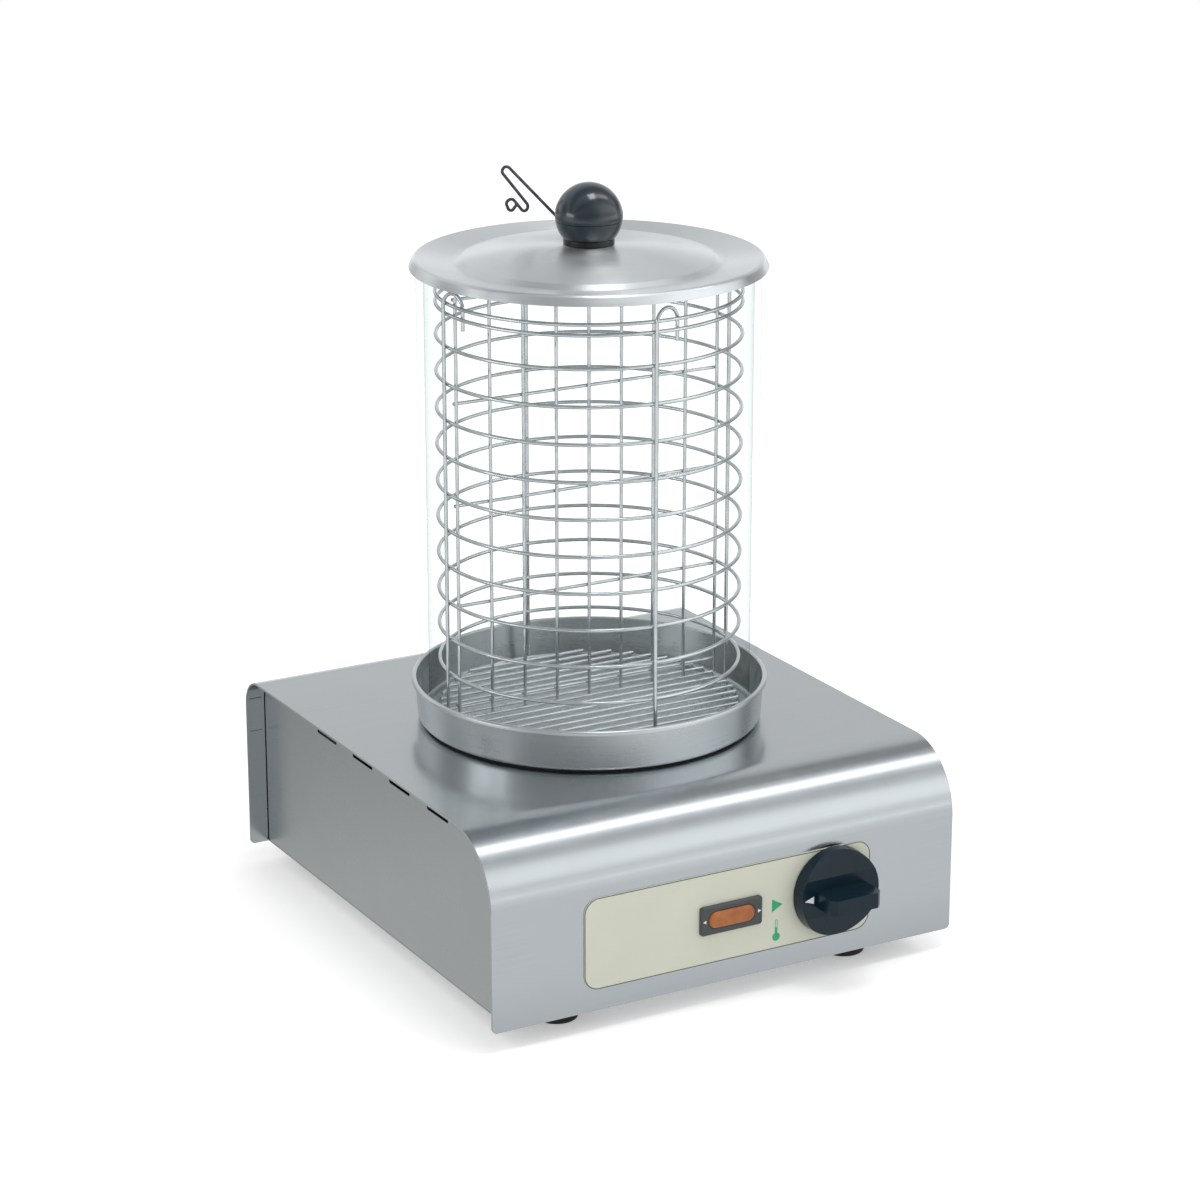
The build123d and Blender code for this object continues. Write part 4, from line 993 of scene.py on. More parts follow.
# Sub-assemblies -----------------------------------------------------------------------------------
@dataclass
class Assembly:
    """What every sub-assembly shares, and the way in which a piece joins its body.

    Attributes:
        frame: the loaded frame.
        paints: the materials.
    """

    frame: dict
    paints: Paints
    body: ClassVar[str] = "base"

    def dress(self, finish: Finish, *nodes: str) -> None:
        """Give CAD nodes a finish.

        Args:
            finish: the finish.
            nodes: the nodes' names.
        """
        for node in nodes:
            self.paints.dress(self.frame["nodes"][node], finish)
            LOG.info("dressed %s in %s", node, finish.value.name)

    def place(self, piece: bpy.types.Object, finish: Finish | None, slot: str, *replaced: str) -> None:
        """Make a piece ride on this assembly's body.

        Args:
            piece: the finished piece.
            finish: its finish, or None if it already wears one.
            slot: the record's material slot that it stands for; not used.
            replaced: the CAD nodes that it is shown in place of.
        """
        if finish:
            self.paints.dress(piece, finish)
        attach(piece, self.body)
        if replaced:
            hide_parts(*replaced)
        LOG.info("placed %s", piece.name)


@dataclass
class Housing(Assembly):
    """The bent cover, the side panels, the bottom plate, the feet and their screws."""

    width: float = 300.0
    depth: float = 320.0
    top: float = 121.0
    bottom: float = 12.0
    sheet: float = 1.2
    front_bend: float = 40.0
    rear_bend: float = 17.5
    corner: float = 3.0
    corner_steps: int = 8
    edge: float = 0.25
    slit_x: float = 144.0
    slit: Point2 = (8.5, 1.0)
    slit_drops: Point2 = (14.5, 35.4)
    slit_depth: float = 0.7
    slit_reach: float = 5.0  # length of the tool, which ends well outside the wall
    foot_pitch: Point2 = (190.0, 264.0)
    screw_pitch: Point2 = (263.0, 220.0)
    # radii, each with its height, from the bore down its recess, under the foot and up its ribs
    foot_radii: Row = (2.2, 4.0, 4.0, 4.4, 11.4, 12.0, 12.3, 12.1, 12.4, 12.9, 12.7, 13.0, 13.7, 13.9, 2.2)
    foot_heights: Row = (4.0, 4.0, 0.4, 0.0, 0.0, 0.5, 3.4, 3.8, 4.2, 7.4, 7.8, 8.2, 11.5, 12.0, 12.0)
    # radii, each with its drop below the face that the head bears on, from the head to the shank's end
    screw_radii: Row = (0.0, 2.4, 3.2, 3.7, 3.8, 3.8, 2.0, 2.0, 0.0)
    screw_drops: Row = (2.2, 2.2, 1.9, 1.2, 0.5, 0.0, 0.0, -10.0, -10.0)
    foot_seat: float = 4.0  # the foot's recess, where its screw's head bears
    recess: Point2 = (4.0, 0.9)
    recess_drops: Point2 = (3.0, 1.1)

    def cover(self) -> bpy.types.Object:
        """The bent cover with softened edges, rounded lower corners and four slits.

        Returns:
            The cover, named cover_sheet.
        """
        half, middle = self.width / 2, self.sheet / 2
        front, rear, high = middle - self.depth / 2, self.depth / 2 - middle, self.top - middle
        corners_of_bend = [(front, self.bottom), (front, high), (rear, high), (rear, self.bottom)]
        path = rounded(corners_of_bend, [self.front_bend - middle, self.rear_bend - middle], steps=24)
        outline = sheet_outline(path, self.sheet)
        flat = half - self.corner

        def spot(y: float, z: float, x: float) -> Point3:
            """Place a point of the sheet, lifted where the lower corner is rounded.

            Args:
                y: its place from front to rear.
                z: its height.
                x: its place from side to side.

            Returns:
                The point.
            """
            over = max(abs(x) - flat, 0)
            lift = self.corner - math.sqrt(max(self.corner**2 - over**2, 0))
            return x, y, max(z, self.bottom + lift)

        turns = [math.radians(90 * k / self.corner_steps) for k in range(self.corner_steps + 1)]
        stations = [half - self.corner * (1 - math.sin(turn)) for turn in turns]
        stations = [-x for x in reversed(stations)] + stations
        cover = stack("cover_sheet", [(outline, x) for x in stations], spot, edge=self.edge)
        return cut(cover, self.slit_tools())

    def slit_tools(self) -> list[bpy.types.Object]:
        """Blocks that cut the short slits in the rear wall's edges.

        Returns:
            The blocks, at the slits' places.
        """
        place = on_front(self.sheet - self.slit_depth - self.depth / 2)
        return [
            prism(
                "slit",
                rectangle(*self.slit, corner=0.3, steps=2, middle=(x, self.top - drop)),
                place,
                self.slit_reach,
            )
            for x in (-self.slit_x, self.slit_x)
            for drop in self.slit_drops
        ]

    def screw(self, seat: float) -> bpy.types.Object:
        """Make one pan-head screw with a cross recess.

        Args:
            seat: height of the face that its head bears on from below.

        Returns:
            The screw.
        """
        outline = [(radius, seat - drop) for radius, drop in zip(self.screw_radii, self.screw_drops)]
        low, high = self.recess_drops
        bar = rectangle(*self.recess, corner=0.2, steps=1)
        cross = (bar, [(-v, u) for u, v in bar])
        tools = [prism("recess", arm, lambda u, v, h: (u, v, seat - low + h), low - high) for arm in cross]
        return cut(revolve("screw", outline, closed=False, segments=32), tools)

    def build(self) -> None:
        """Make and place the housing's pieces."""
        self.place(self.cover(), Finish.COVER, "housing_steel", "top_cover")
        self.dress(Finish.PANEL, "side_panel_left", "side_panel_right")
        self.dress(Finish.PLATE, "bottom_plate")
        grid = grid_tree()
        foot = revolve("foot", list(zip(self.foot_radii, self.foot_heights)), closed=True, segments=48)
        foot_screw, plate_screw = self.screw(self.foot_seat), self.screw(self.bottom)
        feet, plate = (*self.foot_pitch, 2), (*self.screw_pitch, 3)
        for item, name, (width, depth, rows), finish, slot, node in (
            (foot, "rubber_feet_set", feet, Finish.RUBBER, "foot_rubber", "rubber_feet"),
            (foot_screw, "foot_screw_set", feet, Finish.ZINC, "zinc_fixings", "foot_screws"),
            (plate_screw, "plate_screw_set", plate, Finish.ZINC, "zinc_fixings", "bottom_screws"),
        ):
            others = {"Columns": 2, "Rows": rows, "Finish": self.paints.get(finish)}
            self.place(grid.run(name, {"Width": width, "Depth": depth}, others, item), None, slot, node)
        self.dress(Finish.ZINC, "foot_nuts")


@dataclass
class Fascia(Assembly):
    """The cream control plate, its marks and the pilot lamp."""

    wall: float = 160.0
    sheet: float = 0.8
    width: float = 186.0
    bottom: float = 25.0
    top: float = 79.0
    corner: float = 9.0
    line: float = 0.55
    steps: int = 10  # segments in each rounding
    lamp_z: float = 51.5
    bezel: Point2 = (40.0, 17.0)
    bezel_corner: float = 1.8
    shoulder_corner: float = 1.4
    bezel_depth: float = 2.5
    bevel: Point2 = (0.6, 0.7)  # inwards and down
    lip: Point2 = (0.7, 0.5)  # width and depth of the chamfer round the lens
    dish: float = 0.1
    lens: Point2 = (30.0, 10.2)
    lens_sink: float = 1.6
    # inset and height of the lens's outlines, from its seat to its face
    lens_insets: Row = (0.02, 0.02, 0.35, 1.1, 2.4, 4.2)
    lens_heights: Row = (0.0, 1.0, 1.75, 2.2, 2.45, 2.5)
    mark: float = 0.06
    mark_root: float = 0.05  # how far a mark is sunk, so that it leaves no gap
    lamp_mark: Point3 = (19.0, 16.9, 1.0)  # tip, back and half height, from the lamp's middle
    arrow: tuple[Point2, ...] = ((27.6, 47.2), (27.6, 55.2), (34.6, 51.2))
    bulb: Point2 = (30.6, 32.0)
    bulb_radius: float = 2.5
    stem: float = 1.7
    stem_line: float = 0.4
    stem_top: float = 42.4
    fill_top: float = 37.6

    def outline(self) -> bpy.types.Object:
        """The thin dark line round the plate's edge: its bare edge and a painted shadow of the gap round
        it.

        Returns:
            The line's piece.
        """
        middle, depth = (0.0, (self.top + self.bottom) / 2), self.mark / 2
        height = self.top - self.bottom
        outer, inner = (
            rectangle(self.width - 2 * inset, height - 2 * inset, self.corner - inset, self.steps, middle)
            for inset in (0.0, self.line)
        )
        levels = [(outer, 0.0), (outer, depth), (inner, depth), (inner, 0.0)]
        return stack("plate_edge_line", levels, on_front(self.wall + self.sheet), hollow=True)

    def lamp_outline(self, width: float, height: float, corner: float | None = None) -> list[Point2]:
        """An outline round the lamp's middle.

        Args:
            width: its width.
            height: its height.
            corner: radius of its corners, or None for round ends.

        Returns:
            Its corners.
        """
        return rectangle(width, height, corner or height / 2 - 0.01, self.steps, (0.0, self.lamp_z))

    def frame_piece(self) -> bpy.types.Object:
        """The lamp's dark frame, dished towards the lens.

        Returns:
            The frame's piece.
        """
        (width, height), front = self.bezel, self.bezel_depth
        (inwards, down), (chamfer, fall) = self.bevel, self.lip
        outer = self.lamp_outline(width, height, self.bezel_corner)
        shoulder = self.lamp_outline(width - 2 * inwards, height - 2 * inwards, self.shoulder_corner)
        lip = self.lamp_outline(self.lens[0] + 2 * chamfer, self.lens[1] + 2 * chamfer)
        seat = self.lamp_outline(*self.lens)
        levels = [(outer, 0.0), (outer, front - down), (shoulder, front), (lip, front - self.dish)]
        levels += [(seat, front - self.dish - fall), (seat, front - self.lens_sink)]
        return stack("lamp_frame", levels, on_front(self.wall + self.sheet), sharp=28)

    def lens_piece(self) -> bpy.types.Object:
        """The amber lens with a domed face.

        Returns:
            The lens's piece.
        """
        width, height = self.lens
        levels = [
            (self.lamp_outline(width - 2 * inset, height - 2 * inset), rise)
            for inset, rise in zip(self.lens_insets, self.lens_heights)
        ]
        place = on_front(self.wall + self.sheet + self.bezel_depth - self.lens_sink)
        return stack("lamp_window", levels, place, sharp=60)

    def frame_marks(self) -> bpy.types.Object:
        """The two small white triangles at the ends of the lamp's frame.

        Returns:
            Both marks as one piece.
        """
        place = on_front(self.wall + self.sheet + self.bezel_depth - self.mark_root)
        tip, back, half = self.lamp_mark
        depth, z = self.mark + self.mark_root, self.lamp_z
        marks = [[(s * tip, z), (s * back, z + half), (s * back, z - half)] for s in (-1, 1)]
        return join("lamp_frame_marks", [prism("mark", mark, place, depth) for mark in marks])

    def green_marks(self) -> bpy.types.Object:
        """The arrow and the thermometer printed in green beside the knob.

        Returns:
            Both marks as one piece.
        """
        x, half = self.bulb[0], self.stem / 2
        start = math.degrees(math.acos(half / self.bulb_radius))
        bulb = arc(self.bulb, self.bulb_radius, 180 - start, 360 + start, steps=28)
        bulb += [(x + half, self.fill_top), (x - half, self.fill_top)]
        tip = x, self.stem_top - half
        outer, inner = (
            [(x + w, self.fill_top), *arc(tip, w, 0, 180, self.steps), (x - w, self.fill_top)]
            for w in (half, half - self.stem_line)
        )
        place = on_front(self.wall + self.sheet)
        marks = (self.arrow, bulb, outer + inner[::-1])
        return join("green_marks", [prism("mark", mark, place, self.mark) for mark in marks])

    def build(self) -> None:
        """Make and place the control plate's pieces."""
        self.dress(Finish.CREAM, "fascia_plate")
        # a thin dark line round the plate: its bare edge and a painted shadow of its gap
        self.place(self.outline(), Finish.OUTLINE, "fascia_cream")
        self.place(self.green_marks(), Finish.GREEN, "fascia_cream")
        self.place(self.frame_piece(), Finish.BEZEL, "bezel_grey", "lamp_bezel")
        self.place(self.lens_piece(), Finish.LENS, "lens_amber", "lamp_lens")
        self.place(self.frame_marks(), Finish.WHITE, "pointer_white")
        self.dress(Finish.GLAND, "lamp_body")
        self.dress(Finish.BRASS, "lamp_tabs")


@dataclass
class Control(Assembly):
    """The heat knob with its pointer and shaft."""

    body: ClassVar[str] = "knob"

    def build(self) -> None:
        """Dress the knob's parts."""
        self.dress(Finish.KNOB, "control_knob")
        self.dress(Finish.WHITE, "knob_pointer")
        self.dress(Finish.TURNED, "control_shaft")


@dataclass
class Tray(Assembly):
    """The spun water tray and what holds it down."""

    underside: float = 122.0
    sheet: float = 1.0
    step_radius: float = 84.0
    step_run: float = 2.0
    step_rise: float = 2.0
    bottom_radius: float = 100.8
    wall_radius: float = 102.4
    rim_radius: float = 104.2
    height: float = 25.0
    lip: float = 2.4
    corner: float = 3.0
    rim_bends: Point2 = (0.55, 0.65)

    def tray(self) -> bpy.types.Object:
        """The tray, with a raised middle and a rolled rim.

        Returns:
            The tray's piece.
        """
        half = self.sheet / 2
        low, rim = self.underside + half, self.underside + self.height - half
        path = [
            (0, low + self.step_rise),
            (self.step_radius, low + self.step_rise),
            (self.step_radius + self.step_run, low),
            (self.bottom_radius - half, low),
            (self.wall_radius - half, rim),
            (self.rim_radius - half, rim),
            (self.rim_radius - half, rim + half - self.lip),
        ]
        bent = rounded(path, [self.sheet, self.sheet, self.corner - half, *self.rim_bends], steps=6)
        outline = [(max(radius, 0.0), z) for radius, z in sheet_outline(bent, self.sheet)]
        return revolve("spun_tray", outline, closed=False, segments=192)

    def build(self) -> None:
        """Make and place the tray and its fixings."""
        self.place(self.tray(), Finish.TRAY, "tray_steel", "water_tray")
        self.dress(Finish.RUBBER, "tray_gasket")
        self.dress(Finish.ZINC, "tray_studs", "tray_washers", "tray_nuts")


@dataclass
class Works(Assembly):
    """The heater, the controls behind the plate and the mains parts."""

    def build(self) -> None:
        """Dress every inner part."""
        self.dress(Finish.ALUMINIUM, "heater_plate")
        self.dress(Finish.SHEATH, "heating_element")
        self.dress(Finish.CERAMIC, "heater_insulators")
        self.dress(Finish.TURNED, "heater_pins", "heater_clamp")
        self.dress(Finish.ZINC, "heater_stud", "heater_nut", "thermostat_screws")
        self.dress(Finish.PHENOLIC, "overheat_cutout")
        self.dress(Finish.BRASS, "cutout_tabs", "thermostat_tabs", "terminal_screws")
        self.dress(Finish.COPPER, "sensor_bulb", "capillary_tube")
        self.dress(Finish.NYLON, "thermostat_body", "terminal_block")
        self.dress(Finish.GLAND, "cable_gland", "gland_dome_nut", "gland_lock_nut")


@dataclass
class Glass(Assembly):
    """The glass cylinder."""

    body: ClassVar[str] = "glass"
    radius: float = 98.5
    wall: float = 4.5
    bottom: float = 123.0
    height: float = 272.0
    rim: float = 2.0

    def build(self) -> None:
        """Make and place the cylinder, its rims fire polished."""
        middle = self.radius - self.wall / 2, self.bottom + self.height / 2
        outline = rectangle(self.wall, self.height, self.rim, middle=middle)
        cylinder = revolve("glass_tube", outline, closed=True, segments=224)
        self.place(cylinder, Finish.GLASS, "clear_glass", "glass_cylinder")


@dataclass
class Basket(Assembly):
    """The wire basket with its dividing grid; heights are above the tray's floor."""

    body: ClassVar[str] = "basket"
    radius: float = 87.4
    wire: float = 1.1
    weld: float = 0.15  # how far crossing wires sink into each other
    floor: float = 123.0
    ring_start: float = 35.1
    ring_pitch: float = 21.55
    ring_count: int = 10
    top_rings: Point2 = (248.0, 254.0)
    floor_rise: float = 5.5
    floor_wire: float = 1.0
    floor_count: int = 18
    floor_pitch: float = 9.2
    upright_angle: float = -94.6
    upright_count: int = 4
    hook_span: float = 15.4
    hook_top: float = 261.0
    hook_leg: float = 20.0
    hook_steps: int = 20
    divider_wire: float = 1.0
    divider_count: int = 9
    bar_count: int = 5
    bar_start: float = 17.3
    bar_pitch: float = 59.9
    divider_bottom: float = 10.0
    divider_top: float = 258.5
    overhang: float = 1.0

    def upright_path(self) -> list[Vector]:
        """The middle line of one upright: up outside the rings, over the top and down inside.

        Returns:
            Its points, from the foot to the end of the inner leg.
        """
        turn = 2 * math.asin(self.hook_span / 2 / self.radius)
        start = math.radians(self.upright_angle)
        aside = 2 * self.wire - self.weld
        foot, tip = (
            Vector((radius * math.cos(angle), radius * math.sin(angle), self.floor))
            for radius, angle in ((self.radius + aside, start), (self.radius - aside, start + turn))
        )
        half = (tip - foot).length / 2
        rise = self.hook_top - half
        points = [foot]
        for k in range(self.hook_steps + 1):
            angle = math.pi * k / self.hook_steps
            share, up = (1 - math.cos(angle)) / 2, rise + half * math.sin(angle)
            points.append(foot.lerp(tip, share) + Vector((0, 0, up)))
        return [*points, tip + Vector((0, 0, self.hook_top - self.hook_leg))]

    def row(
        self, tree: Repeat, name: str, count: int, first: Point3, step: Point3, **shape: object
    ) -> bpy.types.Object:
        """Make a row of like wires.

        Args:
            tree: the tree that repeats them.
            name: the piece's name.
            count: how many wires.
            first: place of the first, its height above the tray's floor.
            step: from each to the next.
            shape: the tree's other lengths.

        Returns:
            The piece.
        """
        x, y, z = first
        others = {"Count": count, "Finish": self.paints.get(Finish.WIRE)}
        return tree.run(name, {"First": (x, y, z + self.floor), "Step": step, **shape}, others)

    def chrome(self, piece: bpy.types.Object, node: str) -> None:
        """Place a piece of plated wire in a CAD node's stead."""
        self.place(piece, None, "basket_chrome", node)

    def build(self) -> None:
        """Make and place the basket's wires."""
        rings, straight = ring_tree(), straight_tree()
        hoop = {"Ring": self.radius, "Wire": self.wire}
        low, high = self.top_rings
        ladder_first, ladder_step = (0, 0, self.ring_start), (0, 0, self.ring_pitch)
        ladder = self.row(rings, "hoops", self.ring_count, ladder_first, ladder_step, **hoop)
        pair = self.row(rings, "top_hoops", 2, (0, 0, low), (0, 0, high - low), **hoop)
        self.chrome(join("basket_hoops", [ladder, pair]), "basket_rings")
        lowest = self.row(rings, "floor_hoop", 1, (0, 0, self.floor_rise), (0, 0, 0), **hoop)
        self.chrome(lowest, "basket_floor_ring")

        count = self.upright_count
        around = {"Count": count, "Turn": 2 * math.pi / count, "Finish": self.paints.get(Finish.WIRE)}
        path = path_object("upright", self.upright_path())
        uprights = bent_tree().run("looped_uprights", {"Wire": self.wire}, around, path)
        self.chrome(uprights, "basket_uprights")

        start = -(self.floor_count - 1) / 2 * self.floor_pitch
        rise = self.floor_rise + self.wire + self.floor_wire - self.weld
        first, step = (0, start, rise), (0, self.floor_pitch, 0)
        chord = {"Ring": self.radius, "Wire": self.floor_wire}
        grate = self.row(chord_tree(), "floor_grate", self.floor_count, first, step, **chord)
        self.chrome(grate, "basket_floor_wires")

        wire = self.divider_wire
        half = self.radius - self.wire - wire + self.weld
        first, step = (-half, 0, self.divider_bottom), (2 * half / (self.divider_count - 1), 0, 0)
        post = {"Run": (0, 0, self.divider_top - self.divider_bottom), "Wire": wire}
        posts = self.row(straight, "divider_posts", self.divider_count, first, step, **post)
        self.chrome(posts, "divider_uprights")
        reach = half + self.overhang
        first, step = (-reach, 2 * wire - self.weld, self.bar_start), (0, 0, self.bar_pitch)
        rail = {"Run": (2 * reach, 0, 0), "Wire": wire}
        rails = self.row(straight, "divider_rails", self.bar_count, first, step, **rail)
        self.chrome(rails, "divider_bars")


@dataclass
class Lid(Assembly):
    """The lid with its ball knob and lifting hook; heights are the sheet's middle above its seat."""

    body: ClassVar[str] = "lid"
    seat: float = 395.559
    seat_radius: float = 96.25
    sheet: float = 0.9
    centre_radius: float = 16.5
    centre_rise: float = 7.1
    disc_radius: float = 71.8
    disc_rise: float = -0.1
    groove_radius: float = 76.0
    groove_width: float = 2.0
    slope: float = 8.0
    edge_radius: float = 99.5
    skirt_radius: float = 102.2
    skirt_drop: float = 5.1
    bends: tuple[float, ...] = (0.9, 0.8, 1.0, 2.2)
    dome_steps: int = 12
    ball_radius: float = 19.3
    ball_base: float = 15.2
    ball_steps: int = 48
    seam_drop: float = 2.2
    seam: Point2 = (0.25, 0.3)  # half width and depth
    collar_radius: float = 14.6
    collar_height: float = 3.9
    collar_edges: Point2 = (0.3, 1.0)
    wire: float = 0.9
    hook_azimuth: float = 150.5
    hook_behind: float = 18.0
    hook_start: Point2 = (2.7, 5.7)
    hook_foot: float = 8.7
    hook_foot_bend: float = 2.0
    hook_low: float = 1.35
    # distance along the hook, height and bend of each corner
    hook_corners: tuple[Point3, ...] = (
        (47.2, 41.8, 2.3),
        (49.7, 37.4, 2.3),
        (34.3, 17.8, 3.0),
        (36.5, 13.3, 1.8),
        (43.8, 22.4, 2.2),
        (47.4, 19.7, 2.2),
        (44.8, 13.2, 1.7),
    )
    hook_end: Point2 = (41.3, 18.3)

    @property
    def top(self) -> float:
        """Height of the lid's upper face at its middle."""
        return self.seat + self.centre_rise + self.sheet / 2

    def shell(self) -> bpy.types.Object:
        """The pressed sheet: a domed middle, a groove, a rising rim and a flared skirt.

        Returns:
            The sheet's piece.
        """
        rise = math.tan(math.radians(self.slope))
        centre, disc = self.seat + self.centre_rise, self.seat + self.disc_rise
        groove_out = self.groove_radius + self.groove_width
        groove = self.seat + (groove_out - self.seat_radius) * rise
        run, fall = self.disc_radius - self.centre_radius, centre - disc
        sphere = (run**2 + fall**2) / (2 * fall)
        outs = [run * k / self.dome_steps for k in range(1, self.dome_steps)]
        dome = [(self.centre_radius + out, centre - sphere + math.sqrt(sphere**2 - out**2)) for out in outs]
        rim = rounded(
            [
                dome.pop(),
                (self.disc_radius, disc),
                (self.groove_radius, groove),
                (groove_out, groove),
                (self.edge_radius, self.seat + (self.edge_radius - self.seat_radius) * rise),
                (self.skirt_radius - self.sheet / 2, self.seat - self.skirt_drop),
            ],
            self.bends,
            steps=6,
        )
        path = [Vector((*p, 0)) for p in ((0, centre), (self.centre_radius, centre), *dome)] + rim
        outline = [(max(radius, 0.0), z) for radius, z in sheet_outline(path, self.sheet)]
        return revolve("pressed_lid", outline, closed=False, segments=224)

    def ball(self) -> bpy.types.Object:
        """The ball knob, flat below, with the faint seam of its mould.

        Returns:
            The ball's piece.
        """
        bottom = self.top + self.collar_height
        centre = bottom + math.sqrt(self.ball_radius**2 - self.ball_base**2)
        start = -math.degrees(math.acos(self.ball_base / self.ball_radius))
        seam, edge = centre - self.seam_drop, math.sqrt(self.ball_radius**2 - self.seam_drop**2)
        wide, deep = self.seam
        skin_points = arc((0, centre), self.ball_radius, start, 90, self.ball_steps)
        outline = [p for p in skin_points[:-1] if abs(p[1] - seam) > wide + 0.05]
        outline += [(edge, seam - wide), (edge - deep, seam), (edge, seam + wide)]
        outline.sort(key=lambda p: p[1])
        pole = (0.0, centre + self.ball_radius)
        return revolve("ball_knob", [(0.0, bottom), *outline, pole], closed=False, segments=128)

    def collar(self) -> bpy.types.Object:
        """The round collar under the ball.

        Returns:
            The collar's piece.
        """
        low, high, out = self.top, self.top + self.collar_height, self.collar_radius
        under, over = self.collar_edges
        outline = [(0.0, low), (out - under, low), (out, low + under)]
        outline += [*arc((out - over, high - over), over, 0, 90, steps=6), (0.0, high)]
        return revolve("ball_collar", outline, closed=False, segments=96)

    def hook_path(self) -> list[Vector]:
        """The bent wire's middle line.

        Returns:
            Its points, from inside the collar to the bent tip.
        """
        angle = math.radians(self.hook_azimuth)
        along = Vector((math.cos(angle), math.sin(angle), 0))
        behind = Vector((math.sin(angle), -math.cos(angle), 0))

        def spot(distance: float, back: float, height: float) -> Vector:
            """A point in the hook's own directions."""
            return along * distance + behind * back + Vector((0, 0, self.top + height))

        points = [spot(*self.hook_start, self.hook_low)]
        points.append(spot(self.hook_foot, self.hook_behind, self.hook_low))
        points += [spot(distance, self.hook_behind, height) for distance, height, _ in self.hook_corners]
        points.append(spot(self.hook_end[0], self.hook_behind, self.hook_end[1]))
        return rounded(points, [self.hook_foot_bend, *(bend for _, _, bend in self.hook_corners)], steps=10)

    def build(self) -> None:
        """Make and place the lid's pieces."""
        self.place(self.shell(), Finish.LID, "lid_steel", "lid")
        self.place(self.ball(), Finish.BALL, "ball_black", "lid_knob")
        self.place(self.collar(), Finish.COLLAR, "collar_black", "knob_collar")
        one = {"Count": 1, "Turn": 0.0, "Finish": self.paints.get(Finish.HOOK)}
        path = path_object("hook", self.hook_path())
        hook = bent_tree().run("lifting_hook", {"Wire": self.wire}, one, path)
        self.place(hook, None, "hook_wire", "lid_hook")
        self.dress(Finish.ZINC, "lid_screw", "lid_washer")


# Studio -------------------------------------------------------------------------------------------
@dataclass(frozen=True)
class View:
    """The camera: where it looks from and how far away it is.

    Attributes:
        yaw: turn of the view to the right, in degrees.
        pitch: tilt of the view downwards, in degrees.
        distance: from the camera to its target in millimetres.
        side: the target's place to the right of the axis, across the view.
        height: the target's height.
        focal_px: focal length in pixels of an image that is image_px wide.
        image_px: width of that image.
        sensor: width of the sensor in millimetres.
        clip: nearest and farthest distance seen, in metres.
    """

    yaw: float = 29.39
    pitch: float = 18.03
    distance: float = 2114.0
    side: float = 6.29
    height: float = 191.02
    focal_px: float = 3622.83
    image_px: float = 1200.0
    sensor: float = 36.0
    clip: Point2 = (0.05, 60.0)

    def build(self) -> None:
        """Make the camera and use it."""
        yaw, pitch = math.radians(self.yaw), math.radians(self.pitch)
        flat = math.cos(pitch)
        ahead = Vector((math.sin(yaw) * flat, math.cos(yaw) * flat, -math.sin(pitch)))
        target = Vector((self.side * math.cos(yaw), -self.side * math.sin(yaw), self.height))
        data = bpy.data.cameras.new("camera")
        data.sensor_width = self.sensor
        data.lens = self.focal_px / self.image_px * self.sensor
        data.clip_start, data.clip_end = self.clip
        camera = new_object("camera", data)
        camera.location = (target - ahead * self.distance) * MM
        camera.rotation_euler = ahead.to_track_quat("-Z", "Y").to_euler()
        bpy.context.scene.camera = camera


@dataclass(frozen=True)
class Softbox:
    """One soft lamp that shines on the steamer; places and sizes are in metres."""

    name: str
    place: Point3
    size: Point2
    power: float
    target: Point3 = (0.0, 0.0, 0.2)

    def build(self) -> None:
        """Make the lamp."""
        data = bpy.data.lights.new(self.name, "AREA")
        data.shape = "RECTANGLE"
        data.size, data.size_y = self.size
        data.energy = self.power
        lamp = new_object(self.name, data)
        lamp.location = self.place
        lamp.rotation_euler = (Vector(self.target) - lamp.location).to_track_quat("-Z", "Y").to_euler()


@dataclass(frozen=True)
class Ramp:
    """A value that runs from one level to another while a measure runs from start to end."""

    start: float
    end: float
    first: float
    last: float

    def inputs(self, measure: object) -> Inputs:
        """The inputs of a map range that reads the measure."""
        return {0: measure, 1: self.start, 2: self.end, 3: self.first, 4: self.last}


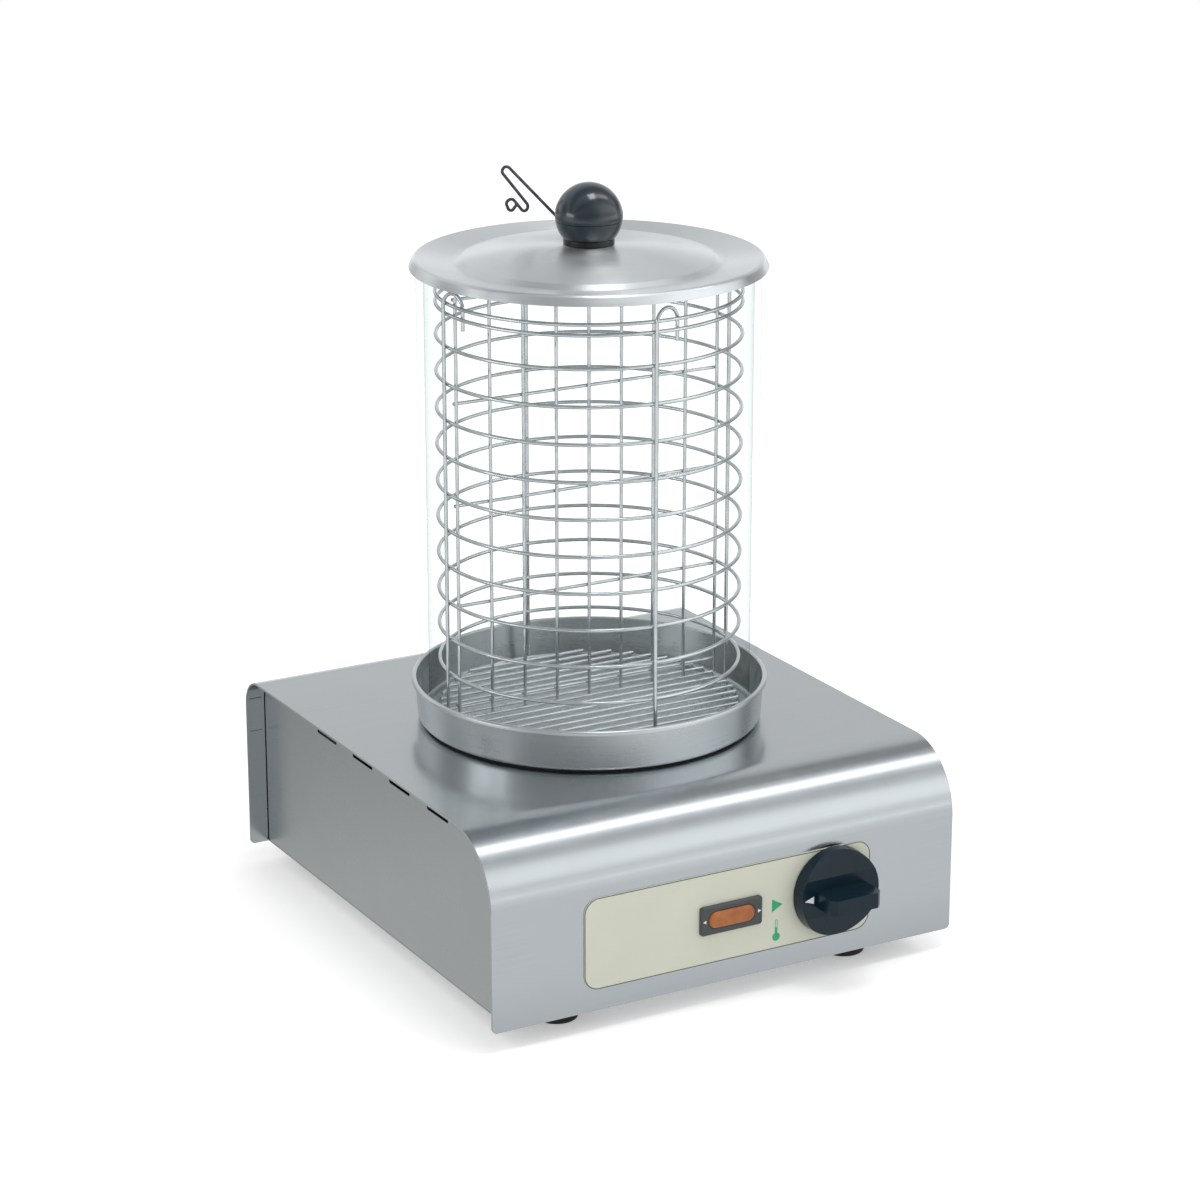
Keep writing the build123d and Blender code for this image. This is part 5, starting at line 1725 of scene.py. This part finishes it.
@dataclass(frozen=True)
class Studio:
    """The floor, the surroundings and the lamps; lengths are in metres.

    Attributes:
        floor_size: length of the floor's side.
        floor_colour: sRGB colour of the floor.
        floor_glow: light that the floor adds where it is seen.
        mirrored_near: how bright metal sees the floor close by, from in front of the housing to beside it.
        mirrored_behind: what is left of that behind the housing.
        mirrored_far: how bright metal sees the floor farther off, from in front to behind.
        rearwards: the way that counts as behind, far off.
        far: where the near floor gives way to the far one.
        ambient: even light from all round.
        strip_angles: angles up from behind and over to the front, in degrees.
        strip_levels: how bright metal sees the room at each.
        patches: darker and brighter places that metal sees: the way to the middle, the cosines at the
            patch's rim and core, and the factor at its core.
        boxes: the lamps.
    """

    floor_size: float = 5.0
    floor_colour: str = "F4F4F4"
    floor_glow: float = 0.30
    mirrored_near: Ramp = Ramp(-0.24, -0.12, 0.90, 0.64)
    mirrored_behind: Ramp = Ramp(0.08, 0.36, 1.0, 0.72)
    mirrored_far: Ramp = Ramp(-0.5, 0.3, 1.0, 0.42)
    rearwards: Point3 = (0.49, 0.87, 0.0)
    far: Ramp = Ramp(0.48, 0.65, 0.0, 1.0)
    ambient: float = 0.86
    strip_angles: Row = (0, 8, 16, 50, 62, 76, 92, 112, 118, 128, 138, 158, 168, 176, 180)
    strip_levels: Row = (1.2, 1.1, 0.74, 0.75, 0.36, 0.36, 0.8, 0.8, 0.6, 0.7, 1.04, 1.02, 0.7, 0.8, 0.85)
    patches: tuple[tuple[Point3, float, float, float], ...] = (
        ((-0.62, -0.72, 0.31), 0.60, 0.90, 0.45),
        ((-0.72, 0.68, 0.12), 0.90, 0.985, 0.45),
        ((0.76, -0.62, 0.20), 0.75, 0.95, 1.40),
        ((0.96, 0.22, 0.02), 0.90, 0.965, 0.45),
        ((-0.15, 0.985, -0.06), 0.90, 0.97, 0.50),
    )
    boxes: tuple[Softbox, ...] = (
        Softbox("strip_softbox", (1.2, -0.43, 2.2), (1.7, 0.50), 5.0, (1.2, -0.43, 0.0)),
        Softbox("overhead_softbox", (0.1, -0.38, 2.2), (0.65, 0.65), 8.0, (0.1, -0.38, 0.0)),
        Softbox("left_softbox", (-3.5, 0.39, 0.80), (1.8, 0.5), 8.0),
        Softbox("rear_softbox", (-0.9, 2.0, 0.9), (1.2, 0.8), 0.9),
    )

    def rays(self, graph: Graph) -> tuple[bpy.types.Node, bpy.types.Node, bpy.types.Node]:
        """Tell the kinds of ray apart.

        Args:
            graph: the material's or the world's graph.

        Returns:
            Nodes that are 1 for rays straight from the camera or through glass, for those and all
            mirrored ones, and for mirrored ones alone.
        """
        path = graph.add("ShaderNodeLightPath").outputs
        through, glossy = path["Is Transmission Ray"], path["Is Glossy Ray"]
        straight = graph.add(MATH, {0: path["Is Camera Ray"], 1: through}, operation="MAXIMUM")
        seen = graph.add(MATH, {0: straight, 1: glossy}, operation="MAXIMUM")
        opaque = graph.add(MATH, {0: 1.0, 1: through}, operation="SUBTRACT")
        return straight, seen, graph.add(MATH, {0: glossy, 1: opaque}, operation="MULTIPLY")

    def mirrored_floor(self, graph: Graph) -> bpy.types.Node:
        """How bright metal sees the floor.

        Args:
            graph: the floor's graph.

        Returns:
            The node that gives the level.
        """
        place = graph.add("ShaderNodeTexCoord").outputs["Object"]
        y = graph.add("ShaderNodeSeparateXYZ", {0: place}).outputs["Y"]
        beside = graph.add(RANGE, self.mirrored_near.inputs(y))
        behind = graph.add(RANGE, self.mirrored_behind.inputs(y))
        near = graph.add(MATH, {0: beside, 1: behind}, operation="MULTIPLY")
        distance = graph.add(VECTOR, {0: place}, operation="LENGTH").outputs["Value"]
        depth = graph.add(VECTOR, {0: place, 1: self.rearwards}, operation="DOT_PRODUCT").outputs["Value"]
        way = graph.add(MATH, {0: depth, 1: distance}, operation="DIVIDE")
        far = graph.add(RANGE, self.mirrored_far.inputs(way))
        share = graph.add(RANGE, self.far.inputs(distance))
        return graph.add("ShaderNodeMix", {0: share, 2: near, 3: far}, data_type="FLOAT")

    def floor_shader(self, graph: Graph) -> bpy.types.Node:
        """Add the floor's shader: plain, pale and shaded, but evenly lit where metal mirrors it.

        Args:
            graph: the material's graph.

        Returns:
            The shader node.
        """
        _, seen, reflected = self.rays(graph)
        glow = graph.add(MATH, {0: seen, 1: self.floor_glow}, operation="MULTIPLY")
        matt = graph.add("ShaderNodeBsdfDiffuse", {"Color": linear(self.floor_colour)})
        lit = graph.add("ShaderNodeEmission", {"Strength": glow})
        both = graph.add("ShaderNodeAddShader", {0: matt, 1: lit})
        mirrored = graph.add("ShaderNodeEmission", {"Strength": self.mirrored_floor(graph)})
        return graph.add("ShaderNodeMixShader", {0: reflected, 1: both, 2: mirrored})

    def floor(self) -> None:
        """Make the floor."""
        half = self.floor_size / 2
        data = bpy.data.meshes.new("floor")
        square = [(-half, -half, 0), (half, -half, 0), (half, half, 0), (-half, half, 0)]
        data.from_pydata(square, [], [(0, 1, 2, 3)])
        data.materials.append(material("pale_floor", self.floor_shader))
        new_object("floor", data)

    def surroundings(self) -> None:
        """A white room that metal sees in strips and patches of other brightness."""
        world = bpy.data.worlds.new("white_studio")
        bpy.context.scene.world = world
        world.use_nodes = True
        graph = Graph(world.node_tree)
        way = graph.add("ShaderNodeTexCoord").outputs["Generated"]
        _, y, z = graph.add("ShaderNodeSeparateXYZ", {0: way}).outputs
        angle = graph.add(MATH, {0: z, 1: y}, operation="ARCTAN2")
        turn = graph.add(MATH, {0: angle, 1: math.pi}, operation="DIVIDE")
        studio = graph.add("ShaderNodeValToRGB", {0: turn})
        stops = studio.color_ramp.elements
        for degrees, level in zip(self.strip_angles, self.strip_levels):
            stops.new(degrees / 180).color = (level, level, level, 1)
        stops.remove(stops[0])
        stops.remove(stops[len(stops) - 1])
        for middle, rim, core, factor in self.patches:
            near = graph.add(VECTOR, {0: way, 1: middle}, operation="DOT_PRODUCT").outputs["Value"]
            level = graph.add(RANGE, Ramp(rim, core, 1.0, factor).inputs(near))
            studio = graph.add(MATH, {0: studio, 1: level}, operation="MULTIPLY")
        straight, seen, reflected = self.rays(graph)
        glossy = graph.add(MATH, {0: reflected, 1: studio}, operation="MULTIPLY")
        shown = graph.add(MATH, {0: straight, 1: glossy}, operation="MAXIMUM")
        unseen = graph.add(MATH, {0: 1.0, 1: seen}, operation="SUBTRACT")
        strength = graph.add(MATH, {0: unseen, 1: self.ambient, 2: shown}, operation="MULTIPLY_ADD")
        background = graph.add("ShaderNodeBackground", {"Color": (1, 1, 1, 1), "Strength": strength})
        graph.add("ShaderNodeOutputWorld", {0: background})

    def build(self) -> None:
        """Make the studio."""
        self.floor()
        self.surroundings()
        for box in self.boxes:
            box.build()
        bpy.context.scene.view_settings.view_transform = "Standard"


def main() -> None:
    """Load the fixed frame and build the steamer's looks."""
    logging.basicConfig(level=logging.INFO, format="%(name)s: %(message)s")
    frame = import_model()
    paints = Paints()
    for assembly in (Housing, Fascia, Control, Tray, Works, Glass, Basket, Lid):
        assembly(frame, paints).build()
    Studio().build()
    View().build()


if __name__ == "__main__":
    main()
